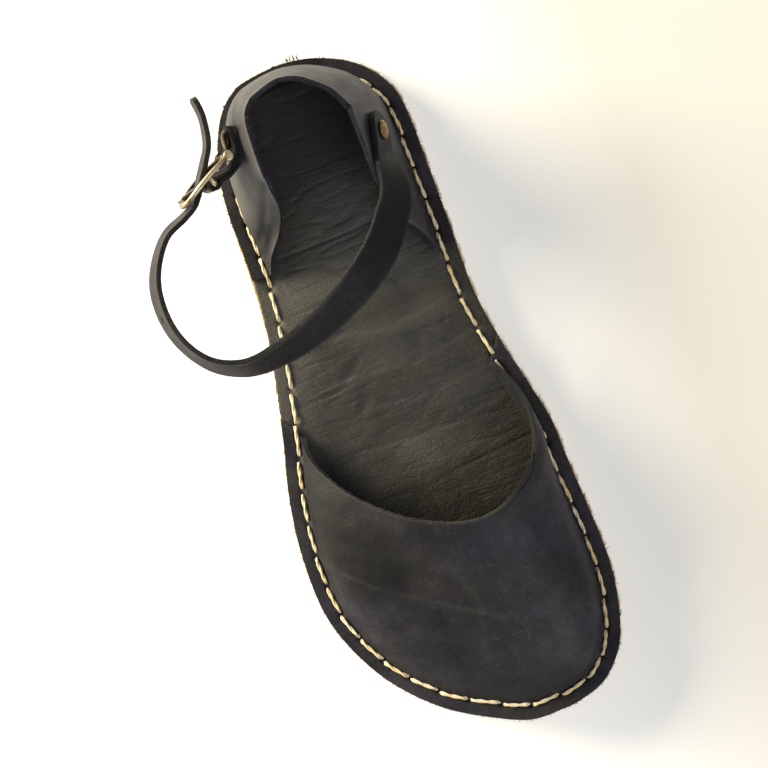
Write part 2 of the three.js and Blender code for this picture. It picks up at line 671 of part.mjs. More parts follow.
// A station of a strap at a point of the buckle's middle plane, facing along (towardsX, towardsY) there, with
// the lean that keeps the strap's width along the buckle's upright axis.
function inBuckle(x, y, towardsX, towardsY) {
  const turned = (...point) => new THREE.Vector3(...point).applyQuaternion(buckle.quaternion);
  const face = turned(towardsX, towardsY, 0);
  const way = turned(towardsY, -towardsX, 0);
  const lean = Math.atan2(face.z, Math.hypot(way.x, way.y) * turned(0, 0, 1).z);
  return { at: buckle.localToWorld(new THREE.Vector3(x, y, 0)), lean: THREE.MathUtils.radToDeg(lean) };
}
const prongRoom = prong(GAP).applyMatrix4(buckle.matrixWorld);

// Straps

const loopPoint = (row) => ({
  at: groundPoint(row, STACK + row.up * COUNTER_HEIGHT),
  lean: row.lean,
});
const innerSeat = counterSeat(INNER_RIVET, RIVET_HEIGHT);
const strapOffset = GAP + STRAP / 2;
const underWire = -(WIRE / 2 + GAP + STRAP / 2);
const strapRoute = [
  ...seatsPast(INNER_RIVET, STRAP_TAIL, STRAP_LEAVES).map((seat) => seatOf(seat, strapOffset)),
  ...STRAP_LOOP.map(loopPoint),
  ...STRAP_IN_BUCKLE.map(({ under, out, along }) => {
    const x = THREE.MathUtils.lerp(strapOffset, underWire, under) + out * STRAP;
    return inBuckle(x, along * ringHalf.length, 1, 0);
  }),
  ...STRAP_END.map(loopPoint),
];

const rivetHole = ({ at, out }) => {
  const hole = new THREE.CylinderGeometry(RIVET_SHANK / 2 + GAP, RIVET_SHANK / 2 + GAP, BORE, RIVET_STEPS);
  hole.applyQuaternion(new THREE.Quaternion().setFromUnitVectors(new THREE.Vector3(0, 1, 0), out));
  return hole.translate(at.x, at.y, at.z);
};

const ankleStrap = cut(
  ribbon(strapRoute, STRAP_WIDTH, STRAP, STRAP_STEPS, { roundStart: true }),
  rivetHole(innerSeat),
  prongRoom,
);

// The short strap's inner ply runs along the counter to the bar, turns round it and comes back as the outer
// ply.
const plySeats = seatsPast(OUTER_RIVET, PLY_TAIL, PLY_LEAVES);
const plyOffset = GAP + PLY / 2;
const plyPitch = PLY + GAP;
const fold = Array.from({ length: FOLD_STEPS + 1 }, (_, i) => {
  const angle = THREE.MathUtils.lerp(-Math.PI / 2, Math.PI / 2, i / FOLD_STEPS);
  const [x, y] = [Math.sin(angle), Math.cos(angle)];
  return inBuckle(barIn + foldRadius * x, foldRadius * y, x, y);
});
// A point of the inner ply, facing -1, or of the outer ply, facing 1.
const plyPoint = ({ out, along, open }, facing) => {
  const apart = THREE.MathUtils.lerp(plyPitch / 2, foldRadius, open);
  return inBuckle(barIn + out * BAR + facing * apart, along * ringHalf.length, facing, 0);
};
const buckleStrapRoute = [
  ...plySeats.map((seat) => seatOf(seat, plyOffset, -1)),
  ...PLY_WAY.map((row) => plyPoint(row, -1)),
  ...fold,
  ...PLY_WAY.toReversed().map((row) => plyPoint(row, 1)),
  ...plySeats.toReversed().map((seat) => seatOf(seat, plyOffset + plyPitch)),
];
const buckleStrap = cut(
  ribbon(buckleStrapRoute, STRAP_WIDTH, PLY, PLY_STEPS, { roundStart: true, roundEnd: true }),
  rivetHole(outerSeat),
  prongRoom,
);

// Rivets

// A rivet through the counter and what lies on it: a low dome outside, a smaller flat cap inside.
function rivet(stack) {
  const outside = stack + GAP;
  const inside = -(UPPER + GAP);
  const profile = [
    [0, inside - RIVET_BACK_RISE],
    [RIVET_BACK * 0.4, inside - RIVET_BACK_RISE],
    [RIVET_BACK / 2, inside - RIVET_BACK_RISE / 2],
    [RIVET_BACK / 2, inside],
    [RIVET_SHANK / 2, inside],
    [RIVET_SHANK / 2, outside],
    [RIVET_CAP / 2, outside],
    [RIVET_CAP / 2, outside + RIVET_DOME * 0.3],
    [RIVET_CAP * 0.42, outside + RIVET_DOME * 0.75],
    [RIVET_CAP * 0.22, outside + RIVET_DOME * 0.97],
    [0, outside + RIVET_DOME],
  ];
  return new THREE.LatheGeometry(
    profile.map(([r, y]) => new THREE.Vector2(r, y)),
    RIVET_STEPS,
  );
}

// The object

const navyLeather = { color: 0x343538, roughness: 0.55, metalness: 0 };
const tanLeather = { color: 0xa68c50, roughness: 0.6, metalness: 0 };
const nickel = { color: 0xb9ab97, roughness: 0.28, metalness: 1 };
const antiqueBrass = { color: 0x7b663c, roughness: 0.4, metalness: 1 };

function piece(name, geometry, finish) {
  const mesh = new THREE.Mesh(geometry, new THREE.MeshStandardMaterial(finish));
  mesh.name = name;
  mesh.geometry.computeVertexNormals();
  return mesh;
}

function seated(mesh, { at, out }) {
  mesh.position.copy(at);
  mesh.quaternion.setFromUnitVectors(new THREE.Vector3(0, 1, 0), out);
  return mesh;
}

buckle.add(
  piece("buckle_frame", buckleFrame, nickel),
  piece("buckle_prong", prong(0), nickel),
);

const rivetHoles = [rivetHole(innerSeat), rivetHole(outerSeat)];
const shoe = new THREE.Group();
shoe.add(
  piece("outsole", outsole, tanLeather),
  piece("insole", insole, navyLeather),
  piece("counter", cut(thicken(counterSheet, UPPER), ...rivetHoles), navyLeather),
  piece("vamp", thicken(vampSheet, UPPER), navyLeather),
  piece("ankle_strap", ankleStrap, navyLeather),
  piece("buckle_strap", buckleStrap, navyLeather),
  buckle,
  seated(piece("inner_rivet", rivet(GAP + STRAP), antiqueBrass), innerSeat),
  seated(piece("outer_rivet", rivet(2 * plyPitch), antiqueBrass), outerSeat),
);

export default shoe;
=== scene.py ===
import bmesh
import bpy
import numpy as np
from mathutils import Matrix, Vector


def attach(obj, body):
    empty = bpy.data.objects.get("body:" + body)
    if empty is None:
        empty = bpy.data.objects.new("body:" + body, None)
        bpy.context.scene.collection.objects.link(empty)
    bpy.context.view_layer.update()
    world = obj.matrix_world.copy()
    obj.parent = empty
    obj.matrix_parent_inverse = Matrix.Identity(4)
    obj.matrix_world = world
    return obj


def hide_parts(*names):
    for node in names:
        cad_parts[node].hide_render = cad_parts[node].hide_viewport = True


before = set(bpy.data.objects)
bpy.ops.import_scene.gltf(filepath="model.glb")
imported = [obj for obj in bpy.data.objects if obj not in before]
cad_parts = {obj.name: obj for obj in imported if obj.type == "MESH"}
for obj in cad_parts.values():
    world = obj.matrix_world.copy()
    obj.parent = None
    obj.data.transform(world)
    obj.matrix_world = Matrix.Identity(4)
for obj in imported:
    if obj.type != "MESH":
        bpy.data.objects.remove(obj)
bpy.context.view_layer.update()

# Camera, light and floor. The camera hangs 1.2 m above the ground, a little beside the shoe, and looks down
# on it with the heel at the top of the picture. Wide soft lights stand round a white floor.
EYE = Vector((-0.0393, 0.0983, 1.2))
LOOKED_AT = Vector((0.003, 0.0905, 0.01))
PICTURE_UP = Vector((-0.315, -0.949, 0))
FOCAL_LENGTH = 148
looking = (LOOKED_AT - EYE).normalized()
picture_right = looking.cross(PICTURE_UP).normalized()
axes = Matrix((picture_right, picture_right.cross(looking), -looking)).transposed()
camera = bpy.data.objects.new("camera", bpy.data.cameras.new("camera"))
camera.data.lens = FOCAL_LENGTH
camera.matrix_world = Matrix.Translation(EYE) @ axes.to_4x4()
bpy.context.scene.collection.objects.link(camera)
bpy.context.scene.camera = camera
bpy.context.scene.view_settings.view_transform = "Standard"

# Place of each light, its width and height, its power and its colour: a low warm one at the outer side of
# the heel, a weak fill on the inner side, one before the toe.
SOFT_LIGHTS = {
    "outer_light": ((1.2, -0.9, 0.52), (1.0, 0.8), 84, (1, 0.905, 0.7)),
    "inner_light": ((-1.1, 0.1, 1.2), (1.2, 1.2), 2, (0.93, 0.96, 1)),
    "toe_light": ((-0.5, 1.25, 1.1), (1.2, 0.9), 12, (0.95, 0.95, 1)),
}
for name, (place, (width, height), power, colour) in SOFT_LIGHTS.items():
    lamp = bpy.data.lights.new(name, "AREA")
    lamp.shape = "RECTANGLE"
    lamp.size = width
    lamp.size_y = height
    lamp.energy = power
    lamp.color = colour
    light = bpy.data.objects.new(name, lamp)
    aim = (LOOKED_AT - Vector(place)).to_track_quat("-Z", "Y").to_matrix().to_4x4()
    light.matrix_world = Matrix.Translation(place) @ aim
    bpy.context.scene.collection.objects.link(light)

room = bpy.data.worlds.new("room")
room.use_nodes = True
room.node_tree.nodes["Background"].inputs["Color"].default_value = (0.93, 0.96, 1, 1)
room.node_tree.nodes["Background"].inputs["Strength"].default_value = 0.3
bpy.context.scene.world = room


def tone(red, green, blue):
    """A colour given as it looks on a screen, 0 to 255, as the linear values that a shader takes."""
    shown = np.array((red, green, blue)) / 255
    linear = np.where(shown > 0.04045, ((shown + 0.055) / 1.055) ** 2.4, shown / 12.92)
    return (*linear.tolist(), 1)


class Finish:
    """A material put together from shader nodes on a piece's own coordinates, with sizes in millimetres."""

    def __init__(self, name, **sockets):
        self.material = bpy.data.materials.new(name)
        self.material.use_nodes = True
        self.tree = self.material.node_tree
        self.skin = self.tree.nodes["Principled BSDF"]
        self.place = self.add("TexCoord", output="Object")
        self.wear(**sockets)

    def wear(self, **sockets):
        """Sets the shader's sockets, named with _ for a space, to numbers, colours or nodes' outputs."""
        for name, value in sockets.items():
            self.join(self.skin.inputs[name.replace("_", " ")], value)

    def join(self, socket, value):
        """Puts a number or colour into a socket, or links it to another node's output."""
        if isinstance(value, bpy.types.NodeSocket):
            self.tree.links.new(value, socket)
        else:
            socket.default_value = value

    def add(self, kind, inputs=None, output=0, **settings):
        """A new node with its settings and inputs. It gives the named output."""
        node = self.tree.nodes.new("ShaderNode" + kind)
        for name, value in settings.items():
            setattr(node, name, value)
        for socket, value in (inputs or {}).items():
            self.join(node.inputs[socket], value)
        return node.outputs[output]

    def scaled(self, size, stretch=(1, 1, 1), turn=(0, 0, 0)):
        """Coordinates in steps of a size, drawn out along the axes and turned."""
        scale = [1000 / (size * longer) for longer in stretch]
        return self.add("Mapping", {"Vector": self.place, "Scale": scale, "Rotation": turn})

    def clouds(self, size, detail=3, rough=0.5, warp=0, **where):
        """Noise of a size in millimetres, 0 to 1."""
        inputs = {"Vector": self.scaled(size, **where), "Scale": 1, "Detail": detail}
        return self.add("TexNoise", {**inputs, "Roughness": rough, "Distortion": warp})

    def pebbles(self, size):
        """Cells of a size in millimetres: the distance from each cell's middle."""
        return self.add("TexVoronoi", {"Vector": self.scaled(size), "Scale": 1}, output="Distance")

    def ramp(self, value, *stops):
        """Colours or greys at given values, joined by straight runs."""
        output = self.add("ValToRGB", {"Fac": value})
        ramp = output.node.color_ramp
        for at, _ in stops[2:]:
            ramp.elements.new(at)
        for element, (at, colour) in zip(ramp.elements, sorted(stops, key=lambda stop: stop[0])):
            element.position = at
            element.color = colour if isinstance(colour, tuple) else (colour, colour, colour, 1)
        return output

    def mix(self, factor, first, second, how="MIX"):
        """Two colours mixed by a factor."""
        inputs = {0: factor, 6: first, 7: second}
        return self.add("Mix", inputs, output=2, data_type="RGBA", blend_type=how)

    def product(self, first, second):
        """Two values multiplied."""
        return self.add("Math", {0: first, 1: second}, operation="MULTIPLY")

    def mark(self, name):
        """A value that the piece's mesh carries at its points."""
        return self.add("Attribute", output="Fac", attribute_name=name)

    def relief(self, *layers):
        """Bumps: each layer is a height from 0 to 1 and its depth in millimetres."""
        normal = None
        for height, depth in layers:
            inputs = {"Height": height, "Distance": depth / 1000, "Strength": 1}
            if normal:
                inputs["Normal"] = normal
            normal = self.add("Bump", inputs)
        self.wear(Normal=normal)


# The floor is a white sheet that glows a little, as a painted fill light from below. On the shoe's inner
# side it glows less and is a darker beige: a painted shadow.
paper = Finish("white_paper", Roughness=0.7, Specular_IOR_Level=0.2, Emission_Color=(1, 0.98, 0.93, 1))
across_floor = paper.add("SeparateXYZ", {0: paper.place}, output="X")
across_floor = paper.add("Math", {0: across_floor, 1: 4, 2: 0.5}, operation="MULTIPLY_ADD")
paper.wear(
    Base_Color=paper.ramp(across_floor, (0.05, tone(206, 202, 190)), (0.5, tone(228, 228, 226))),
    Emission_Strength=paper.ramp(across_floor, (0.05, 0.2), (0.5, 0.42)),
)
floor_mesh = bpy.data.meshes.new("floor")
FLOOR_REACH = 4
corners = [(x * FLOOR_REACH, y * FLOOR_REACH, 0) for x, y in ((-1, -1), (1, -1), (1, 1), (-1, 1))]
floor_mesh.from_pydata(corners, [], [(0, 1, 2, 3)])
floor_mesh.materials.append(paper.material)
floor = bpy.data.objects.new("floor", floor_mesh)
bpy.context.scene.collection.objects.link(floor)


# Outsole: undyed, vegetable-tanned leather 5.5 mm thick. Its face is smooth, its edge was cut by hand and is
# rough, with a fine bevel below. A white thread lies along the edge in slits cut for it.
SHOE_LENGTH, BALL_WIDTH, HEEL_SEAT = 264, 108, 36
OUTSOLE = 5.5
HEEL_LIFT, ARCH_LIFT, TOE_SPRING = 1, 1.5, 8
GROUND = {"heel_from": 0.057, "heel_to": 0.227, "ball_from": 0.568, "ball_to": 0.739}
# The outline from the heel's back edge round the outer side to the toe and back: along, as a share of the
# length, and across, as a share of the ball's width.
OUTLINE = [
    (-0.002, 0.01), (0.002, 0.119), (0.014, 0.21), (0.045, 0.283), (0.102, 0.338), (0.17, 0.361),
    (0.254, 0.355), (0.326, 0.358), (0.402, 0.38), (0.508, 0.427), (0.576, 0.465), (0.648, 0.49),
    (0.723, 0.492), (0.784, 0.47), (0.848, 0.401), (0.9, 0.308), (0.947, 0.176), (0.979, 0.028),
    (0.997, -0.088), (0.998, -0.19), (0.992, -0.287), (0.975, -0.386), (0.932, -0.473), (0.862, -0.519),
    (0.788, -0.526), (0.663, -0.501), (0.6, -0.49), (0.53, -0.447), (0.47, -0.409), (0.394, -0.376),
    (0.303, -0.369), (0.208, -0.362), (0.125, -0.353), (0.076, -0.328), (0.032, -0.24), (0.006, -0.111),
]


def cubic(t, start, end, leave, arrive):
    """Points of a cubic arc at shares t of the way from start to end, with its slopes at both."""
    arc = (2 * t**3 - 3 * t**2 + 1) * start + (3 * t**2 - 2 * t**3) * end
    return arc + (t**3 - 2 * t**2 + t) * leave + (t**3 - t**2) * arrive


def outline_path(steps=80):
    """Points of the outline: between two rows a cubic arc, whose slope at each row is half the step from the
    row before to the row after."""
    along, across = np.array(OUTLINE).T
    rows = np.stack([across * BALL_WIDTH, along * SHOE_LENGTH - HEEL_SEAT], -1)
    slope = (np.roll(rows, -1, 0) - np.roll(rows, 1, 0)) / 2
    t = np.linspace(0, 1, steps, endpoint=False)[:, None]
    ends = rows[:, None], np.roll(rows, -1, 0)[:, None]
    path = cubic(t, *ends, slope[:, None], np.roll(slope, -1, 0)[:, None]).reshape(-1, 2)
    return np.vstack([path, path[:1]])


def clamp(values):
    """Values kept from 0 to 1."""
    return np.clip(values, 0, 1)


def unit(vectors):
    """Vectors made one long."""
    return vectors / (np.linalg.norm(vectors, axis=-1, keepdims=True) + 1e-12)


def way_along(line):
    """How far along a line each of its points lies."""
    return np.concatenate([[0], np.cumsum(np.linalg.norm(np.diff(line, axis=0), axis=1))])


def sampled(way, line_way, line):
    """A line's columns read at ways along it."""
    return np.stack([np.interp(way, line_way, column) for column in line.T], -1)


path = outline_path()
path_way = way_along(path)
PERIMETER = path_way[-1]
SLOPE_STEP = 0.4


def edge(turn, inset=0):
    """A point of the outline moved in by an inset, and the directions along it and into the shoe. turn is
    the share of the way round from the heel's back."""
    way = np.mod(turn, 1) * PERIMETER
    behind, point, ahead = [
        sampled(np.mod(way + step, PERIMETER), path_way, path) for step in (-SLOPE_STEP, 0, SLOPE_STEP)
    ]
    forward = unit(ahead - behind)
    inward = np.stack([-forward[..., 1], forward[..., 0]], -1)
    return point + np.asarray(inset)[..., None] * inward, forward, inward


TOE = np.argmax(edge(np.arange(400) / 400)[0][:, 1]) / 400


def turn_at(along, inner):
    """The turn at which the outline passes a share of the shoe's length, on its outer side or inner one."""
    turns = np.linspace(0.97 if inner else 0.03, TOE, 4000)
    return np.interp(along * SHOE_LENGTH - HEEL_SEAT, edge(turns)[0][:, 1], turns)


def underside(y):
    """Height of the sole's lower face: flat under heel and ball, a sine hump at the arch, parabolas behind
    the heel and under the toe."""
    share = (np.asarray(y) + HEEL_SEAT) / SHOE_LENGTH
    heel_from, heel_to, ball_from, ball_to = GROUND.values()
    arch = np.sin(np.pi * clamp((share - heel_to) / (ball_from - heel_to))) ** 2
    heel = np.clip((heel_from - share) / heel_from, 0, None) ** 2
    toe = np.clip((share - ball_to) / (1 - ball_to), 0, None) ** 2
    return HEEL_LIFT * heel + ARCH_LIFT * arch + TOE_SPRING * toe


def raised(flat, height):
    """Points of the ground plan put at a height above the sole's lower face."""
    return np.concatenate([flat, (underside(flat[..., 1]) + height)[..., None]], -1)


def rim_at(turn, inset, height):
    """Points of the rim at an inset from the outline and a height above the sole's lower face."""
    return raised(edge(turn, inset)[0], height)


def chance(cell, seed):
    """A fixed random number from -1 to 1 for each cell of a grid, by mixing the bits of its numbers."""
    mixed = cell[..., 0] * 73856093 ^ cell[..., 1] * 19349663 ^ cell[..., 2] * 83492791 ^ seed * 2654435
    mixed = (mixed ^ (mixed >> 15)) * 2246822519 % 4294967296
    mixed = (mixed ^ (mixed >> 13)) * 3266489917 % 4294967296
    return (mixed >> 8) % 65536 / 32767.5 - 1


def lumps(points, size, seed=0):
    """Smooth noise from -1 to 1: random numbers at the corners of cells of a size, blended across each cell
    by 3t^2 - 2t^3."""
    scaled = points / np.asarray(size) + 500
    cell = np.floor(scaled).astype(np.int64)
    t = scaled - cell
    t = t * t * (3 - 2 * t)
    total = 0
    for corner in np.ndindex(2, 2, 2):
        share = np.prod(np.where(corner, t, 1 - t), -1)
        total = total + share * chance(cell + corner, seed)
    return total


def grid_faces(rows, columns, start=0, ring=False):
    """Four-cornered faces between the points of a grid, numbered row by row. A ring joins its last column
    to its first."""
    number = np.arange(rows * columns).reshape(rows, columns) + start
    if ring:
        number = np.hstack([number, number[:, :1]])
    faces = np.stack([number[:-1, :-1], number[1:, :-1], number[1:, 1:], number[:-1, 1:]], -1)
    return faces.reshape(-1, 4)


def put_together(grids):
    """The points of several grids in one row, and each grid's faces."""
    starts = np.cumsum([0] + [grid.size // 3 for grid in grids])
    faces = [grid_faces(*grid.shape[:2], start) for grid, start in zip(grids, starts)]
    return np.vstack([grid.reshape(-1, 3) for grid in grids]), faces


def on_first(values, count):
    """Values of the first of count points, and 0 for the others."""
    return np.concatenate([values.ravel(), np.zeros(count - values.size)])


def make_piece(name, points, faces, finishes, parts=None, sheet=False, **marks):
    """A smooth mesh of points in millimetres and faces of point numbers. Points in one place are merged, and
    but for a sheet the faces are turned out. parts gives each face its finish, marks the points' values."""
    mesh = bpy.data.meshes.new(name)
    mesh.from_pydata((points.reshape(-1, 3) / 1000).tolist(), [], [list(face) for face in faces])
    for mark, values in marks.items():
        values = np.asarray(values, float).ravel()
        mesh.attributes.new(mark, "FLOAT", "POINT").data.foreach_set("value", values)
    if parts is not None:
        mesh.polygons.foreach_set("material_index", np.asarray(parts, np.int32))
    shape = bmesh.new()
    shape.from_mesh(mesh)
    bmesh.ops.remove_doubles(shape, verts=shape.verts, dist=1e-6)
    if not sheet:
        bmesh.ops.recalc_face_normals(shape, faces=shape.faces)
    shape.to_mesh(mesh)
    shape.free()
    mesh.shade_smooth()
    for finish in finishes:
        mesh.materials.append(finish.material)
    piece = bpy.data.objects.new(name, mesh)
    bpy.context.scene.collection.objects.link(piece)
    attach(piece, "root")
    return piece


ROUND_STEPS = 700
there = np.linspace(0, TOE, ROUND_STEPS + 1)
back = 1 - np.linspace(0, 1, ROUND_STEPS + 1) * (1 - TOE)
ALL_ROUND = np.concatenate([there, back[::-1][1:]])


def layer_cap(inset, height, columns):
    """A face of a sole layer: each row of the grid runs straight from the outline's outer side to the
    matching point of its inner side."""
    outer, inner = edge(there, inset)[0][:, None], edge(back, inset)[0][:, None]
    share = np.linspace(0, 1, columns)[:, None]
    flat = outer + (inner - outer) * share
    return raised(flat, height)


# The edge's section, from the lower face up: inset and height. It was pared back a little.
EDGE_SECTION = [
    (0.8, 0), (0.66, 0.05), (0.3, 0.42), (0.08, 0.7), (0, 0.95), (0, 1.5), (0, 2.1), (0, 2.7),
    (0, 3.3), (0, 3.9), (0, 4.5), (0.02, 5.0), (0.08, 5.35), (0.25, 5.5),
]
EDGE_TRIM = 0.25
SLIT_HEIGHT, SLIT_PITCH, SLIT_PIT = 2.3, 13.4, 2.6
slit_count = round(PERIMETER / SLIT_PITCH)


def bell(distance, width):
    """1 at a distance of 0 and less beside it, as exp(-(distance / width)^2)."""
    return np.exp(-((distance / width) ** 2))


def off_hole(turn, count):
    """How far a turn is from the nearest of a seam's holes, along the outline."""
    share = np.mod(turn * count, 1)
    return (share - np.round(share)) * PERIMETER / count


def slit_depth(turn, height):
    """How deep the edge is cut: a groove along the thread, and between two stitches a short slit that
    slants down and forward."""
    rise = height - SLIT_HEIGHT
    slit = bell(off_hole(turn, slit_count) + 0.9 * rise, 0.55) * bell(rise, 1.2)
    return 0.75 * slit + 0.3 * bell(rise, 0.75)


def on_path(points, route, width):
    """1 on a line through plan points and less beside it: the bell of the distance to the nearest of its
    straight runs."""
    route = np.array(route, float)
    start, run = route[:-1], np.diff(route, axis=0)
    off = points[..., None, :2] - start
    share = clamp(np.sum(off * run, -1) / np.sum(run * run, -1))
    return bell(np.linalg.norm(off - share[..., None] * run, axis=-1).min(-1), width)


section = np.array(EDGE_SECTION) + (EDGE_TRIM, 0)
turns = ALL_ROUND[:, None]
rough = clamp((section[:, 1] - 0.9) / 0.5) * np.ones_like(turns)
probe = rim_at(turns, *section.T)
fuzz = 0.16 * lumps(probe, 1.6, 1) + 0.1 * lumps(probe, 0.7, 2)
ragged = 0.3 * lumps(probe, (3, 3, 9), 3) + 0.15 * lumps(probe, 1.1, 4)
ragged = ragged * clamp((section[:, 1] - 4) / 1.5)
# In two places the sole was pared less and stands out under the upper.
peeps = on_path(probe, [(10, -36), (15, -34.6), (20, -32)], 3.5) + on_path(probe, [(38, 24), (37, 52)], 5)
slits = slit_depth(turns, section[:, 1])
inset = section[:, 0] + rough * (slits + fuzz + ragged - 0.1 - 0.5 * peeps)
sides = rim_at(turns, inset, section[:, 1])
lower, upper = layer_cap(*section[0], 7), layer_cap(*section[-1], 7)
upper[:, 0], upper[:, -1] = sides[: ROUND_STEPS + 1, -1], sides[::-1][: ROUND_STEPS + 1, -1]
points, faces = put_together([sides, lower, upper])
cut, slit = on_first(rough, len(points)), on_first(slits, len(points))

sole_leather = Finish("sole_leather", Specular_IOR_Level=0.35)
face_tone = sole_leather.ramp(
    sole_leather.clouds(38, detail=5, rough=0.6),
    (0.3, tone(126, 105, 56)), (0.5, tone(158, 133, 74)), (0.72, tone(172, 148, 90)),
)
edge_tone = sole_leather.ramp(
    sole_leather.clouds(1.1, detail=4, rough=0.7, stretch=(1.4, 1.4, 0.8)),
    (0.3, tone(120, 84, 34)), (0.48, tone(176, 140, 66)), (0.7, tone(212, 184, 112)),
)
slit_tone = sole_leather.ramp(sole_leather.mark("slit"), (0.32, 0), (0.75, 1))
edge_tone = sole_leather.mix(slit_tone, edge_tone, tone(74, 46, 18))
sole_leather.wear(
    Base_Color=sole_leather.mix(sole_leather.mark("cut"), face_tone, edge_tone),
    Roughness=sole_leather.ramp(sole_leather.mark("cut"), (0, 0.42), (1, 0.85)),
)
sole_leather.relief(
    (sole_leather.clouds(0.5, detail=4, rough=0.7), 0.06),
    (sole_leather.product(sole_leather.clouds(0.8, detail=3), sole_leather.mark("cut")), 0.5),
)
outsole = make_piece("dressed_outsole", points, np.vstack(faces), [sole_leather], cut=cut, slit=slit)
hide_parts("outsole")


# Insole: a sheet of the upper's leather, 2 mm thick, that the foot stands on. Its face is finely creased
# across the shoe where the foot bends. It is paler along its middle and its outer side, and paler at the heel
# as painted light; under the vamp it is darker, as painted shade.
GAP, INSOLE, INSOLE_INSET = 0.3, 2, 0.4
UPPER, FLANGE = 1.8, 7.5
FLANGE_REACH = FLANGE - INSOLE_INSET
DECK = OUTSOLE + GAP + INSOLE
STACK = DECK + GAP + UPPER
COUNTER_ENDS = {"outer": turn_at(0.28, False), "inner": turn_at(0.318, True)}
VAMP_ENDS = {"outer": turn_at(0.481, False), "inner": turn_at(0.462, True)}
SEAM_INSET, SEAM_PITCH, SEAM_PIT = 5.7, 12.9, 0.8
seam_count = round(PERIMETER / SEAM_PITCH)


def seam_dip(turn, inset):
    """How far the thread pulls the leather down: a pit between two stitches and a shallow groove along the
    seam."""
    aside = inset - SEAM_INSET
    return 1.1 * bell(off_hole(turn, seam_count), 1.2) * bell(aside, 1) + 0.35 * bell(aside, 1.3)


def needle_hole_shade(dip):
    """Painted shade in the needle holes: 1 where the leather dips deepest, and 0 outside them."""
    return clamp((dip - 0.75) / 0.5)


INSOLE_COLUMNS = 110
top = layer_cap(INSOLE_INSET + 0.2, DECK, INSOLE_COLUMNS)
share = np.linspace(0, 1, INSOLE_COLUMNS)
half_width = np.linalg.norm(top[:, -1] - top[:, 0], axis=1)[:, None] / 2
from_edge = (1 - np.abs(2 * share - 1)) * half_width
near_turn = np.where(share < 0.5, there[:, None], back[:, None])
wave = 0.35 * lumps(top, (30, 22, 30), 5) + 0.12 * lumps(top, (14, 5, 14), 6)
warped = top + 2.2 * lumps(top, (26, 14, 16), 61)[..., None] * np.array((0, 1, 0))
warped = warped + top[..., :1] * np.array((0, -0.08, 0))
creasing = 0.3 + 0.7 * on_path(top, [(2, 46), (-6, 74), (-12, 108)], 34)
creasing = creasing * np.clip(0.75 + 0.9 * lumps(top, (24, 17, 30), 65), 0.15, 1.4)
for size, depth, seed in (((17, 3.6, 9), 0.3, 62), ((11, 2.1, 9), 0.13, 63), ((26, 7, 9), 0.5, 64)):
    wave = wave - depth * creasing * bell(lumps(warped, size, seed), 0.15)
dip = seam_dip(near_turn, from_edge + INSOLE_INSET)
top[..., 2] += clamp((from_edge - 3) / 10) * wave - 0.8 * dip * clamp(from_edge / 2)
# Bends across the forefoot and instep, in the shoe's plan.
INSOLE_BENDS = [
    [(-34, 52), (-10, 58), (16, 54)], [(-30, 66), (-6, 71), (26, 66)], [(-36, 81), (-12, 86), (22, 84)],
    [(-34, 96), (-8, 99), (28, 95)], [(-38, 108), (-14, 113), (20, 112)], [(-20, 40), (2, 44), (18, 40)],
]
bends = sum(on_path(top, bend, 1.2) for bend in INSOLE_BENDS)
top[..., 2] -= 0.16 * bends
bottom = layer_cap(INSOLE_INSET, OUTSOLE + GAP, 4)
rim = np.array([(0, OUTSOLE + GAP), (0, OUTSOLE + GAP + 0.9), (0.03, DECK - 0.3), (0.2, DECK)])
probe = rim_at(turns, *rim.T)
frayed = 0.2 * lumps(probe, (2.2, 2.2, 6), 7) + 0.1 * lumps(probe, 0.8, 8)
frayed = frayed * np.array([0, 1, 1, 0])
sides = rim_at(turns, INSOLE_INSET + rim[:, 0] + frayed, rim[:, 1])
points, faces = put_together([top, bottom, sides])
parts = np.repeat((0, 1, 1), [len(part) for part in faces])


LEATHER_GRAIN, LEATHER_SWELL = 0.75, 0.16


